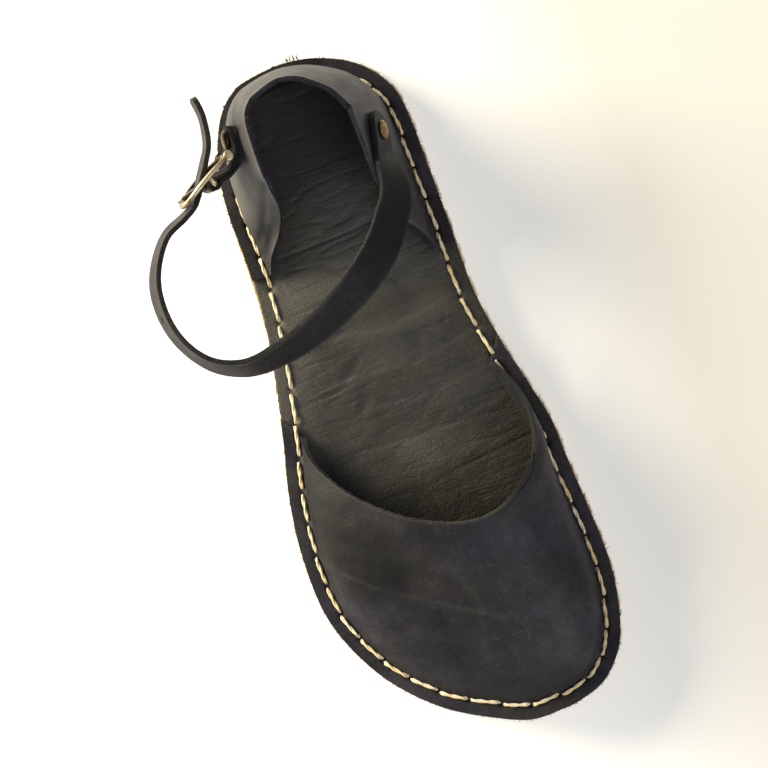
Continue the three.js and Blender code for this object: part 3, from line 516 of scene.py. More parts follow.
def oiled_leather(name, tones, worn, rough, sheen, wrinkles=0, pores=0.05):
    """Full-grain leather dyed dark and oiled: clouds of darker and lighter tone, a fine grain, hair-fine
    scratches, paler where the mesh's mark of wear and painted light is high, and black where its mark of
    painted shade is. Wrinkles are dips where drawn-out noise crosses its middle."""
    skin = Finish(name, Specular_IOR_Level=sheen)
    dark, middle, light = tones
    cool, warm = tone(242, 238, 252), tone(255, 247, 220)
    clouds = skin.clouds(24, detail=6, rough=0.62)
    colour = skin.ramp(clouds, (0.32, dark), (0.5, middle), (0.7, light))
    patches = skin.ramp(skin.clouds(30, detail=3, turn=(0.5, 0.3, 0.9)), (0.4, cool), (0.6, warm))
    colour = skin.mix(0.8, colour, patches, "MULTIPLY")
    mottle = skin.ramp(skin.clouds(7, detail=5, rough=0.65), (0.35, 0.78), (0.65, 1.18))
    colour = skin.mix(0.8, colour, mottle, "MULTIPLY")
    specks = skin.ramp(skin.clouds(LEATHER_GRAIN * 1.7, detail=3, rough=0.7), (0.35, 0.68), (0.65, 1.38))
    colour = skin.mix(0.7, colour, specks, "MULTIPLY")
    for turn in (0.4, 1.5, 2.4):
        strokes = skin.clouds(0.7, detail=2, stretch=(26, 1, 1), turn=(0, 0, turn))
        scratch = skin.ramp(strokes, (0.7, 0), (0.78, 0.35))
        colour = skin.mix(scratch, colour, worn)
    # Paler where the mesh's wear-and-light mark is high: wear, and on the insole's heel painted light.
    colour = skin.mix(skin.product(skin.mark("worn"), 0.75), colour, worn)
    # Painted shade: the colour goes near black where the mesh's painted-shade mark is high.
    skin.wear(Base_Color=skin.mix(skin.mark("pitted"), colour, tone(7, 7, 7)))
    skin.wear(Roughness=skin.ramp(skin.clouds(9, detail=5, rough=0.7), (0.3, rough[0]), (0.7, rough[1])))
    layers = [
        (skin.clouds(5, detail=4, rough=0.6), LEATHER_SWELL),
        (skin.pebbles(LEATHER_GRAIN), pores),
        (skin.clouds(0.35, detail=2), pores * 0.6),
    ]
    if wrinkles:
        for size, stretch in ((3, 4), (1.5, 3)):
            drawn = {"stretch": (stretch, 1, 1), "turn": (0, 0, 0.08)}
            lines = skin.clouds(size, detail=2, rough=0.5, warp=0.3, **drawn)
            layers.append((skin.ramp(lines, (0.44, 1), (0.5, 0), (0.56, 1)), wrinkles))
    skin.relief(*layers)
    return skin


INSOLE_TONES = (tone(30, 30, 27), tone(44, 43, 39), tone(64, 62, 56))
insole_leather = oiled_leather(
    "insole_leather", INSOLE_TONES, tone(90, 88, 82), rough=(0.46, 0.64), wrinkles=0.06, pores=0.1, sheen=0.26
)


def fibrous(name, dark, light, noise, bump, depth, **sockets):
    """A finish of two tones mixed by noise, with a bump of a depth. Both noises are given as size, detail
    and roughness."""
    finish = Finish(name, **sockets)
    finish.wear(Base_Color=finish.ramp(finish.clouds(*noise), (0.3, dark), (0.7, light)))
    finish.relief((finish.clouds(*bump), depth))
    return finish


cut_edge = fibrous(
    "cut_edge", tone(14, 14, 15), tone(44, 43, 44), (0.6, 4, 0.7), (0.4, 4, 0.75), 0.3,
    Roughness=0.9, Specular_IOR_Level=0.15, Sheen_Weight=0.15,
)

middle = on_path(top, [(-4, 52), (-8, 105)], 30)
ridges = clamp(lumps(warped, (26, 7, 9), 64))
# Painted light: a paler patch on the heel, where the counter's walls shade it. The strip along the outer side
# is paler too.
paler_patches = 0.85 * on_path(top, [(2, -14), (0, 28)], 26) + 0.6 * on_path(top, [(31, 50), (38, 80), (42, 104)], 9)
worn = clamp(0.3 * middle + 0.5 * middle * ridges + 0.15 * bends + paler_patches)
# Painted shade inside the toe box: the insole grows darker towards the vamp's throat and under it.
toe_box_shade = clamp((top[..., 0] * 0.315 + top[..., 1] * 0.949 - 123) / 11) * 0.55
insole = make_piece(
    "dressed_insole", points, np.vstack(faces), [insole_leather, cut_edge], parts,
    worn=on_first(worn, len(points)), pitted=on_first(np.maximum(needle_hole_shade(dip), toe_box_shade), len(points)),
)
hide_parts("insole")


# Counter: one piece of 1.8 mm leather bent round the heel. Its foot is turned outwards and stitched down,
# its collar is a plain cut that stands 56 mm high and falls to the sole on both sides.
COUNTER_HEIGHT = 56
LEAN_EARLY = 0.45
# place, height, lean, belly. place runs from the front end on the inner side, -1, round the back, 0, to the
# outer side, 1. The others are shares of the counter's height.
COUNTER_WALL = np.array([
    (-1, 0.02, 0.005, 0), (-0.93, 0.14, 0.06, 0), (-0.86, 0.32, 0.16, 0), (-0.77, 0.57, 0.2, 0.01),
    (-0.67, 0.79, 0.205, 0.02), (-0.53, 0.95, 0.195, 0.035), (-0.38, 0.99, 0.17, 0.06),
    (-0.19, 1, 0.135, 0.12), (0, 1, 0.085, 0.17), (0.19, 1, 0.1, 0.18), (0.35, 0.985, 0.105, 0.17),
    (0.52, 0.94, 0.18, 0.15), (0.7, 0.75, 0.225, 0.12), (0.8, 0.5, 0.235, 0.11), (0.87, 0.28, 0.17, 0.08),
    (0.94, 0.12, 0.05, 0.03), (1, 0.02, 0.005, 0),
])


def read(table, column, place):
    """A column of a table at places between its rows, by cubic arcs that keep the slope between each row's
    neighbours."""
    at, values = table[:, 0], table[:, column]
    last = len(at) - 1
    before, after = np.clip(np.arange(last + 1) - 1, 0, None), np.clip(np.arange(last + 1) + 1, None, last)
    slope = (values[after] - values[before]) / (at[after] - at[before])
    i = np.clip(np.searchsorted(at, place) - 1, 0, last - 1)
    run = at[i + 1] - at[i]
    t = (place - at[i]) / run
    eased = t * t * (3 - 2 * t)
    chord = values[i] * (1 - eased) + values[i + 1] * eased
    return chord + run * t * (1 - t) * ((1 - t) * slope[i] - t * slope[i + 1])


def counter_turn(place):
    """The outline's turn at a place of the counter."""
    return np.where(place < 0, -place * (COUNTER_ENDS["inner"] - 1), place * COUNTER_ENDS["outer"])


def counter_point(place, rise):
    """The counter's outer face: rise is -1 at the flange's edge, 0 at the foot of the wall, 1 at the collar.
    The height grows evenly, the inset as a cubic that bellies out low down and leans in above."""
    up = np.clip(rise, 0, None)
    height = COUNTER_HEIGHT * read(COUNTER_WALL, 1, place) * up
    lean = COUNTER_HEIGHT * read(COUNTER_WALL, 2, place)
    belly = COUNTER_HEIGHT * read(COUNTER_WALL, 3, place)
    swing = (3 * (1 - up) * up**2 * LEAN_EARLY + up**3) * lean - 3 * (1 - up) ** 2 * up * belly
    flange = INSOLE_INSET + FLANGE_REACH * np.clip(rise + 1, None, 1)
    turn = counter_turn(place) + 0 * rise
    return rim_at(turn, flange + swing, STACK + height)


FOLD_REACH = 2.2


def folded(surface, place, distance, span):
    """A surface with a soft fold at the foot of its wall: the weighted mean of five points a little way
    apart on the section. distance is measured from the foot, span is the wall's length."""
    reach = FOLD_REACH * clamp((span - distance) / 3) * clamp((distance + FLANGE_REACH) / 3)
    total = 0
    for step, weight in zip((-1, -0.5, 0, 0.5, 1), (1, 2, 3, 2, 1)):
        at = distance + step * reach
        rise = np.where(at < 0, at / FLANGE_REACH, at / span)
        total = total + surface(place, np.clip(rise, -1, 1)) * weight / 9
    return total


def normals_of(points, faces):
    """Each point's normal: the sum of the normals of its faces, made one long."""
    flat = points.reshape(-1, 3)
    corners = flat[faces]
    normal = np.cross(corners[:, 2] - corners[:, 0], corners[:, 3] - corners[:, 1])
    total = np.zeros_like(flat)
    for corner in range(4):
        np.add.at(total, faces[:, corner], normal)
    return unit(total).reshape(points.shape)


FLANGE_STEPS = np.linspace(-FLANGE_REACH, 0, 24)[:-1]


def sheet_points(surface, place, span, rising):
    """A sheet's distances from its wall's foot, row by row across the flange and then up the wall in shares
    of its span, and its points there."""
    flange = np.broadcast_to(FLANGE_STEPS, (len(place), len(FLANGE_STEPS)))
    distance = np.concatenate([flange, span * rising], 1)
    return distance, folded(surface, place, distance, span)


def flange_ripple(points, distance, seed):
    """How far the flange waves up and down, more so towards its edge."""
    return clamp(-distance / 4) * 0.22 * lumps(points, (7, 7, 30), seed)


def flange_dip(turn, distance):
    """How far the seam pulls the flange down."""
    return seam_dip(turn, FLANGE + distance) * clamp(1 - distance / 1.5)


COUNTER_ROWS, COUNTER_COLUMNS = 481, 52
place = np.linspace(-1, 1, COUNTER_ROWS)[:, None]
span = COUNTER_HEIGHT * read(COUNTER_WALL, 1, place) + 0.4
rising = np.linspace(0, 1, COUNTER_COLUMNS) ** 1.25
distance, wall = sheet_points(counter_point, place, span, rising)
faces = grid_faces(*wall.shape[:2])
out = normals_of(wall, faces)
if out[COUNTER_ROWS // 2, -1, 1] > 0:
    out, faces = -out, faces[:, ::-1]
standing = clamp(distance / 12)
turn = counter_turn(place) + 0 * distance
bulge = standing * (0.5 * lumps(wall, 26, 11) + 0.22 * lumps(wall, (9, 9, 12), 12))
# Soft creases: where the outer side gives way below the collar, and where the heel was bent by hand.
COUNTER_CREASES = [
    [(33, 27), (27, 22), (20, 8)], [(31, 38), (29, 30), (24, 22)], [(-29, 30), (-30, 12)],
]
crease = sum(on_path(wall, route, 1.6) for route in COUNTER_CREASES)
bulge -= 0.55 * crease * standing
# The collar draws in a little on both sides behind the straps and stands back a little at the heel.
high_up = clamp(distance / span) ** 3
bulge += (1.1 * bell(place, 0.16) - bell(np.abs(place) - 0.33, 0.13)) * high_up
wall = wall + out * (bulge + flange_ripple(wall, distance, 13))[..., None]
dip = flange_dip(turn, distance)
wall[..., 2] -= dip
collar = bell(span - distance, 2.2) * clamp(span / 12)
paler_patches = 0.7 * on_path(wall, [(26, -6), (29, 12)], 9) * standing
paler_patches += 0.45 * on_path(wall, [(20, -30), (-6, -36)], 14) * standing
worn = clamp(0.55 * collar + paler_patches + 0.25 * bell(distance - 1, 2))
collar_line, collar_out, collar_up = wall[:, -1], out[:, -1], unit(wall[:, -1] - wall[:, -3])
flange_rims = [(wall[:, 0], unit(wall[:, 0] - wall[:, 2]))]

UPPER_TONES = (tone(23, 24, 28), tone(36, 35, 40), tone(55, 53, 58))
upper_leather = oiled_leather("upper_leather", UPPER_TONES, tone(90, 89, 84), rough=(0.44, 0.6), sheen=0.25)
FLESH = {"Roughness": 0.95, "Specular_IOR_Level": 0.1, "Sheen_Weight": 0.06}
flesh_side = fibrous(
    "flesh_side", tone(21, 21, 23), tone(43, 43, 45), (3, 6, 0.75), (0.5, 5, 0.8), 0.25, **FLESH
)
# Painted shade: the flesh side is made near black where the mesh's painted-shade mark is high.
flesh_tone = flesh_side.skin.inputs["Base Color"].links[0].from_socket
flesh_side.wear(Base_Color=flesh_side.mix(flesh_side.mark("pitted"), flesh_tone, tone(14, 14, 18)))
collar_edge = fibrous(
    "collar_edge", tone(24, 24, 32), tone(64, 64, 78), (0.9, 5, 0.75), (0.5, 4, 0.8), 0.4, **FLESH
)


CORNER = 0.35


def give_wall(piece):
    """Gives a sheet of the upper its wall on the inner side, in the flesh side's finish, with a cut edge all
    round whose two corners are rounded."""
    wall = piece.modifiers.new("wall", "SOLIDIFY")
    wall.thickness = UPPER / 1000
    wall.offset = -1
    wall.thickness_clamp = 0
    wall.material_offset = 1
    wall.material_offset_rim = 2
    corner = piece.modifiers.new("corner", "BEVEL")
    corner.width = CORNER / 1000
    corner.segments = 2
    corner.limit_method = "ANGLE"
    corner.angle_limit = np.radians(50)


# Painted shade: the needle holes and the creases are darkened.
counter = make_piece(
    "dressed_counter", wall, faces, [upper_leather, flesh_side, collar_edge], sheet=True,
    worn=worn, pitted=np.maximum(needle_hole_shade(dip), 0.45 * crease * standing),
)
give_wall(counter)
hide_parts("counter")


# Vamp: one piece of the same leather over the toes, blocked to a low rounded shape with a U-shaped throat.
# Its foot is turned outwards and stitched down from one side of the waist round the toe to the other.
VAMP_HEIGHT, TOE_HEIGHT = 31, 17
RIDGE_FROM, RIDGE_TO = (0.7, -0.146), (0.879, -0.176)
THROAT_SLANT, THROAT_FROM = 7, 0.4
# place, rise, sweep, bulge, spread, as in the counter's table: from the throat's outer end, -1, by the toe,
# 0, to its inner end, 1.
VAMP_WALL = np.array([
    (-1, 0.5, 0.157, 0.015, 0.5), (-0.8, 0.5, 0.06, 0.02, 0.5), (-0.55, 0.46, 0.01, 0.014, 0.48),
    (-0.25, 0.3, 0, 0, 0.45), (0, 0.2, 0, 0, 0.45), (0.15, 0.4, 0, 0, 0.5), (0.35, 0.62, 0, 0.015, 0.58),
    (0.6, 0.7, 0.02, 0.03, 0.7), (0.8, 0.62, 0.08, 0.06, 0.95), (1, 0.52, 0.2, 0.1, 1.37),
])


def vamp_arc(place):
    """The four points of each meridian's cubic arc: foot, the point it first heads for, the point from
    which it reaches the ridge, and the ridge."""
    far = np.abs(place)
    end = np.where(place < 0, VAMP_ENDS["outer"], VAMP_ENDS["inner"])
    turn = TOE + far * (end - TOE)
    throat = np.clip((far - THROAT_FROM) / (1 - THROAT_FROM), 0, None) ** 2
    slanted = turn + np.sign(-place) * throat * THROAT_SLANT / PERIMETER
    foot, forward, inward = edge(slanted, FLANGE)
    way = 1 - far**1.5
    along = RIDGE_FROM[0] + way * (RIDGE_TO[0] - RIDGE_FROM[0])
    across = RIDGE_FROM[1] + way * (RIDGE_TO[1] - RIDGE_FROM[1])
    ridge = np.stack([across * BALL_WIDTH, along * SHOE_LENGTH - HEEL_SEAT], -1)
    height = VAMP_HEIGHT + way * (TOE_HEIGHT - VAMP_HEIGHT)
    sweep = BALL_WIDTH * read(VAMP_WALL, 2, place) * np.sign(-place)
    bulge = BALL_WIDTH * read(VAMP_WALL, 3, place)
    heading = foot + sweep[..., None] * forward - bulge[..., None] * inward
    spread = read(VAMP_WALL, 4, place)[..., None]
    leaving = ridge + spread * (foot - ridge) * np.stack([np.ones_like(throat), 1 - throat], -1)
    heights = [0 * height, height * read(VAMP_WALL, 1, place), height, height]
    flat = (foot, heading, leaving, ridge)
    return turn, [np.concatenate([point, up[..., None]], -1) for point, up in zip(flat, heights)]


def vamp_point(place, rise):
    """The vamp's outer face: rise is -1 at the flange's edge, 0 at the foot of the wall, 1 at the ridge."""
    turn, (foot, heading, leaving, ridge) = vamp_arc(place)
    t = clamp(rise)[..., None]
    at = (1 - t) ** 3 * foot + 3 * (1 - t) ** 2 * t * heading + 3 * (1 - t) * t**2 * leaving + t**3 * ridge
    rim = edge(turn, INSOLE_INSET)[0]
    rim = np.concatenate([rim, 0 * rim[..., :1]], -1)
    at = at + clamp(-rise)[..., None] * (rim - foot)
    return np.concatenate([at[..., :2], (at[..., 2] + underside(at[..., 1]) + STACK)[..., None]], -1)


VAMP_ROWS, VAMP_COLUMNS, CROWDED_ROWS = 441, 74, 19
place = np.linspace(-1, 1, VAMP_ROWS)[:, None]
_, (foot, heading, _, _) = vamp_arc(place)
span = 3 * np.linalg.norm(heading - foot, axis=-1)
rising = np.linspace(0, 1, VAMP_COLUMNS)
distance, dome = sheet_points(vamp_point, place, span, rising)
# Where the throat's inner end rises the meridians crowd together, so there they are spread evenly.
share = distance[-1] / span[-1]
crowded = clamp((share - 0.35) / 0.12) * clamp((1 - share) / 0.1)
last = dome[-CROWDED_ROWS:]
even = last[0] + np.linspace(0, 1, CROWDED_ROWS)[:, None, None] * (last[-1] - last[0])
dome[-CROWDED_ROWS:] = last + crowded[:, None] * (even - last)
# The two halves end on the ridge and share its points.
number = np.arange(dome.shape[0] * dome.shape[1]).reshape(dome.shape[:2])
number[:, -1] = np.minimum(number[:, -1], number[::-1, -1])
faces = grid_faces(*dome.shape[:2])
joined = number.ravel()[faces]
out = normals_of(dome, joined)
out[:, -1] = np.where((place <= 0), out[:, -1], out[::-1, -1])
if out[VAMP_ROWS // 2, 60, 2] < 0:
    out, faces = -out, faces[:, ::-1]
standing = clamp(distance / 10)
turn = vamp_arc(place)[0] + 0 * distance
# Creases across the toes and faint folds from the throat, in the shoe's plan.
VAMP_CREASES = [
    ([(46, 147), (30, 161), (4, 177), (-13, 187)], 0.9, 0.14),
    ([(40, 153), (24, 166), (6, 178)], 0.6, 0.07),
    ([(2, 160), (-4, 173), (-6, 182)], 1.6, 0.1),
    ([(40, 140), (24, 150), (10, 155)], 2.4, 0.1),
]
crease = sum(depth * on_path(dome, route, width) for route, width, depth in VAMP_CREASES)
bulge = standing * (0.45 * lumps(dome, 30, 21) + 0.16 * lumps(dome, (9, 6, 9), 22) - crease)
dome = dome + out * (bulge + flange_ripple(dome, distance, 23))[..., None]
dome[:, -1] = np.where(place <= 0, dome[:, -1], dome[::-1, -1])
dip = flange_dip(turn, distance)
dome[..., 2] -= dip
flange_rims.append((dome[:, 0], unit(dome[:, 0] - dome[:, 2])))
risen = dome[:, len(FLANGE_STEPS) + 1 :]
throat_rims = [(risen[last], unit(risen[last] - risen[inside])) for last, inside in ((0, 2), (-1, -3))]
throat_edge = bell(1 - np.abs(place), 1 / 130) + 0 * distance
# Painted shade: the leather is darker on the outer side and along the throat's inner side.
vamp_shade = 0.85 * on_path(dome, [(42, 104), (37, 135), (26, 158)], 17) * standing
throat_shade = 0.85 * on_path(dome, [(-44, 84), (-47, 108), (-44, 132)], 10) * clamp(distance)
vamp_shade = np.maximum(vamp_shade, throat_shade)
worn = 0.35 * throat_edge + 1.3 * crease + 0.2 * bell(distance - 1, 2)
vamp = make_piece(
    "dressed_vamp", dome, faces, [upper_leather, flesh_side, cut_edge], sheet=True,
    worn=clamp(worn), pitted=np.maximum(needle_hole_shade(dip), vamp_shade),
)
give_wall(vamp)
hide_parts("vamp")


# Seam: two-ply waxed thread in running stitches, through flange, insole and outsole. It dives into a hole
# at both ends of each stitch. A second, whiter row lies in the slits of the outsole's edge.
THREAD, TWIST = 0.46, 10
HOLE_DEPTH, HOLE_SHARE = 1.9, 0.085
UPRIGHT = (0, 0, 1)
seeded = np.random.default_rng(7)


def even_angles(count):
    """Angles spread evenly all round."""
    return np.arange(count) * 2 * np.pi / count


def all_about(count, across, upward):
    """Directions spread evenly all round, in the plane of two directions."""
    angle = even_angles(count)[:, None]
    return np.cos(angle) * across[..., None, :] + np.sin(angle) * upward[..., None, :]


def rods(paths, across, upward, radii, corners):
    """Closed rods, one for each path: round each of its points lie corners at a radius, in the plane of the
    directions across and upward. One face closes each end."""
    points = paths[..., None, :] + radii[..., None, None] * all_about(corners, across, upward)
    number = np.arange(points.size // 3).reshape(points.shape[:-1])
    loop = np.concatenate([number, number[..., :1]], -1)
    sides = [loop[:, :-1, :-1], loop[:, :-1, 1:], loop[:, 1:, 1:], loop[:, 1:, :-1]]
    faces = np.stack(sides, -1).reshape(-1, 4).tolist()
    faces += number[:, 0, ::-1].tolist() + number[:, -1].tolist()
    return points, faces


def rod(line, across, radius, corners):
    """One round rod along a line, from a direction square to it."""
    across = np.zeros_like(line) + across
    upward = np.cross(across, unit(np.gradient(line, axis=0)))
    return rods(line[None], across[None], upward[None], np.broadcast_to(radius, (1, len(line))), corners)


def deck_height(turn):
    """Height of the leather that the seam lies on: the flange where counter or vamp is, the insole in the
    waist between them."""
    turn = np.mod(turn, 1)
    rise = 4 / PERIMETER
    ends = (COUNTER_ENDS["outer"], VAMP_ENDS["outer"], VAMP_ENDS["inner"], COUNTER_ENDS["inner"])
    off, on, off_again, on_again = [np.clip((turn - end) / rise, -0.5, 0.5) + 0.5 for end in ends]
    covered = clamp(1 - off + on - off_again + on_again)
    return DECK + (STACK - DECK) * covered


def stitches(count, pit, inset, height, lift, thickness, tilt, flat):
    """Twisted threads in a row of stitches round the shoe: each ply winds about the stitch's middle line,
    which rises fast out of one hole, runs flat and dives into the next. Upright stitches lie on the sole's
    edge, with their thickness across it."""
    steps = 26
    pitch = PERIMETER / count
    share = np.linspace(0, 1, steps)
    number = np.arange(count)[:, None]
    start = number * pitch + pit / 2
    way = start + share * (pitch - pit)
    turn = way / PERIMETER
    dive = bell(share, HOLE_SHARE) + bell(1 - share, HOLE_SHARE)
    sway = seeded.normal(0, 0.16, (count, 1)) + tilt * (share - 0.5)
    out_of_hole = lift - HOLE_DEPTH * dive
    if flat:
        plan, forward, inward = edge(turn, inset + sway)
        middle = raised(plan, 0)
        middle[..., 2] += height(turn) + out_of_hole
        across = np.concatenate([inward, 0 * inward[..., :1]], -1)
        upward = np.zeros_like(across) + UPRIGHT
    else:
        plan, forward, inward = edge(turn, inset - out_of_hole)
        middle = raised(plan, 0)
        middle[..., 2] += height(turn) + sway
        across = np.zeros_like(middle) + UPRIGHT
        upward = np.concatenate([-inward, 0 * inward[..., :1]], -1)
    twist = 2 * np.pi * way / TWIST + seeded.uniform(0, 6.28, (count, 1))
    plies = []
    for ply in (0, np.pi):
        aside = thickness * 0.62 * np.cos(twist + ply)[..., None] * across
        above = thickness * 0.36 * np.sin(twist + ply)[..., None] * upward
        plies.append(middle + aside + above)
    paths = np.concatenate(plies)
    radii = thickness * (1 + 0.05 * seeded.normal(size=paths.shape[:2]))
    both = [np.concatenate([direction, direction]) for direction in (across, upward)]
    return rods(paths, *both, radii, 8)


points, faces = stitches(seam_count, SEAM_PIT, SEAM_INSET, deck_height, 0.5, THREAD, 0.6, flat=True)
cream_thread = Finish("cream_thread", Roughness=0.7, Specular_IOR_Level=0.35, Sheen_Weight=0.1)
fibre = cream_thread.clouds(0.5, detail=4, rough=0.7)
cream_thread.wear(
    Base_Color=cream_thread.mix(
        cream_thread.ramp(cream_thread.clouds(12, detail=2), (0.4, 0), (0.65, 0.8)),
        cream_thread.ramp(fibre, (0.3, tone(196, 178, 134)), (0.7, tone(238, 226, 196))),
        cream_thread.ramp(fibre, (0.3, tone(206, 170, 104)), (0.7, tone(228, 200, 146))),
    )
)
cream_thread.relief((cream_thread.clouds(0.25, detail=3), 0.1))
seam = make_piece("seam", points, faces, [cream_thread])

points, faces = stitches(
    slit_count, SLIT_PIT, 0, lambda turn: SLIT_HEIGHT + 0 * turn, 0.15, THREAD * 0.95, 0.5, flat=False
)
white_thread = fibrous(
    "white_thread", tone(214, 204, 180), tone(250, 247, 240), (0.5, 4, 0.7), (0.25, 3), 0.1,
    Roughness=0.7, Specular_IOR_Level=0.35, Sheen_Weight=0.1,
)
edge_seam = make_piece("edge_seam", points, faces, [white_thread])


# Ankle strap: a strip of leather 14 mm wide and 2 mm thick, cut by hand. It is riveted to the inner side of
# the counter, comes round the front of the ankle and goes through the buckle. Its free end is punched.
STRAP, STRAP_WIDTH, STRAP_TAIL = 2, 14, 7.7
PLY, PLY_TAIL = 1.3, 5.4
RIVET_HEIGHT = 37
INNER_RIVET, OUTER_RIVET = -0.57, 0.45
STRAP_LEAVES, PLY_LEAVES = 8.5, 4.8
# along, across, up and lean: shares of the shoe's length, of its width and of the counter's height, and
# degrees that the upper edge leans to the inside of the loop.
STRAP_LOOP = [
    (0.229, -0.231, 0.72, 46), (0.264, -0.19, 0.75, 58), (0.305, -0.114, 0.8, 64),
    (0.341, -0.006, 0.86, 61), (0.374, 0.138, 0.91, 50), (0.395, 0.286, 0.965, 35), (0.401, 0.42, 1, 22),
    (0.384, 0.525, 1, 16), (0.349, 0.599, 0.985, 15), (0.303, 0.638, 0.93, 17), (0.254, 0.637, 0.875, 18),
    (0.217, 0.601, 0.835, 16), (0.19, 0.548, 0.795, 14),
]
STRAP_END = [
    (0.092, 0.33, 0.75, 11), (0.068, 0.318, 0.745, 10), (0.046, 0.315, 0.745, 9), (0.022, 0.325, 0.75, 8),
]
# under, out, along: as 1 under the frame's wire or 0 over the fold, in strap thicknesses, and as a share of
# half the frame's length.
STRAP_IN_BUCKLE = [(1, -0.2, 1.25), (1, -0.15, 0.83), (1, 0.7, 0.45), (0, 0.3, 0.04), (0, 1.6, -0.38)]
BUCKLE_LENGTH, BUCKLE_PLAY = 27, 1.1
WIRE_WIDTH, WIRE, ARCH, BAR, PRONG = 2.8, 2, 1, 2, 1.4
# The buckle's front end stands higher, its top leans back to the shoe, and it is turned outwards.
BUCKLE_TURN, BUCKLE_PITCH, BUCKLE_LEAN = np.radians((-57.5, 11, -12))
BUCKLE_PLACE = (14.8, 11.5, 4)
# The punched holes: their radius and how far along the strap they lie.
HOLE_RADIUS, PUNCHED = 1.15, (158, 208, 226)
HALF_LENGTH = (BUCKLE_LENGTH - WIRE_WIDTH) / 2
HALF_HEIGHT = (STRAP_WIDTH + 2 * BUCKLE_PLAY + WIRE_WIDTH) / 2
BAR_IN = -(BAR / 2 + GAP + PLY)


def counter_seat(place):
    """A point of the counter's outer face at the rivets' height, and the direction out of it."""
    place, step = np.array([place]), 0.01
    rise = RIVET_HEIGHT / (COUNTER_HEIGHT * read(COUNTER_WALL, 1, place))
    along = counter_point(place + step, rise) - counter_point(place - step, rise)
    upward = counter_point(place, rise + step) - counter_point(place, rise - step)
    return counter_point(place, rise)[0], unit(np.cross(along, upward)[0])


def seats_past(rivet, tail, leaves):
    """Seats on the counter from a strap's end, a tail behind its rivet, to where the strap leaves it."""
    arc = PERIMETER * (COUNTER_ENDS["outer"] if rivet > 0 else COUNTER_ENDS["inner"] - 1)
    distances = np.array([-tail, -tail / 2, 0, leaves / 3, leaves * 2 / 3, leaves])
    return [counter_seat(rivet + step) for step in distances / arc]


def seat_row(seat, distance, facing=1):
    """A row of a strap's route: the seat moved out by a distance, and the strap's lean there."""
    at, out = seat
    return [*(at + out * distance), np.degrees(np.arcsin(out[2])) * facing]


def loop_row(along, across, up, lean):
    """A row of a strap's route from a table's row."""
    return [across * BALL_WIDTH, along * SHOE_LENGTH - HEEL_SEAT, STACK + up * COUNTER_HEIGHT, lean]


outer_seat, inner_seat = counter_seat(OUTER_RIVET), counter_seat(INNER_RIVET)
buckle_place = outer_seat[0] + BUCKLE_PLACE
buckle_axes = Matrix.Rotation(BUCKLE_TURN, 3, "Z") @ Matrix.Rotation(BUCKLE_PITCH, 3, "X")
buckle_axes = np.array(buckle_axes @ Matrix.Rotation(BUCKLE_LEAN, 3, "Y"))


def on_shoe(points):
    """Points of the buckle's own frame, X out, Y along it and Z up, turned and put in place."""
    return np.asarray(points, float) @ buckle_axes.T + buckle_place


def in_buckle(x, y, towards_x, towards_y):
    """A row of a strap's route at a point of the buckle's middle plane, facing a way in that plane, with the
    lean that keeps the strap's width along the buckle's upright axis."""
    face = buckle_axes @ (towards_x, towards_y, 0)
    way = buckle_axes @ (towards_y, -towards_x, 0)
    lean = np.arctan2(face[2], np.hypot(way[0], way[1]) * buckle_axes[2, 2])
    return [*on_shoe((x, y, 0)), np.degrees(lean)]


def centred_spline(rows, steps):
    """A smooth path through rows of numbers, each run a cubic whose slopes weigh the neighbouring runs by
    the square root of their length, and its points spaced evenly along the way."""
    rows = np.array(rows, float)
    ends = np.vstack([2 * rows[0] - rows[1], rows, 2 * rows[-1] - rows[-2]])
    gaps = np.sqrt(np.linalg.norm(np.diff(ends[:, :3], axis=0), axis=1))[:, None]
    before, run, after = gaps[:-2], gaps[1:-1], gaps[2:]
    p0, p1, p2, p3 = ends[:-3], ends[1:-2], ends[2:-1], ends[3:]
    leave = ((p1 - p0) / before - (p2 - p0) / (before + run) + (p2 - p1) / run) * run
    arrive = ((p2 - p1) / run - (p3 - p1) / (run + after) + (p3 - p2) / after) * run
    t = np.linspace(0, 1, 40, endpoint=False)[:, None, None]
    fine = np.moveaxis(cubic(t, p1, p2, leave, arrive), 0, 1).reshape(-1, rows.shape[1])
    fine = np.vstack([fine, rows[-1:]])
    way = way_along(fine[:, :3])
    even = np.linspace(0, way[-1], steps)
    return sampled(even, way, fine), even


def strap_loop(width, thickness, corner=0.4):
    """The strap's section as a closed ring of points: two broad faces and two cut edges, whose corners are
    rounded by quarter circles."""
    half, deep = width / 2, thickness / 2
    angle = np.radians(np.linspace(0, 90, 4))
    broad = np.linspace(-half + corner, half - corner, 27)[1:-1]
    turn = np.stack([half - corner + corner * np.sin(angle), deep - corner + corner * np.cos(angle)], -1)
    flat = np.stack([broad, np.full(len(broad), deep)], -1)
    cut = np.stack([np.full(3, half), np.linspace(deep - corner, corner - deep, 5)[1:-1]], -1)
    right = np.vstack([flat, turn, cut, turn[::-1] * (1, -1)])
    return np.vstack([right, -right])


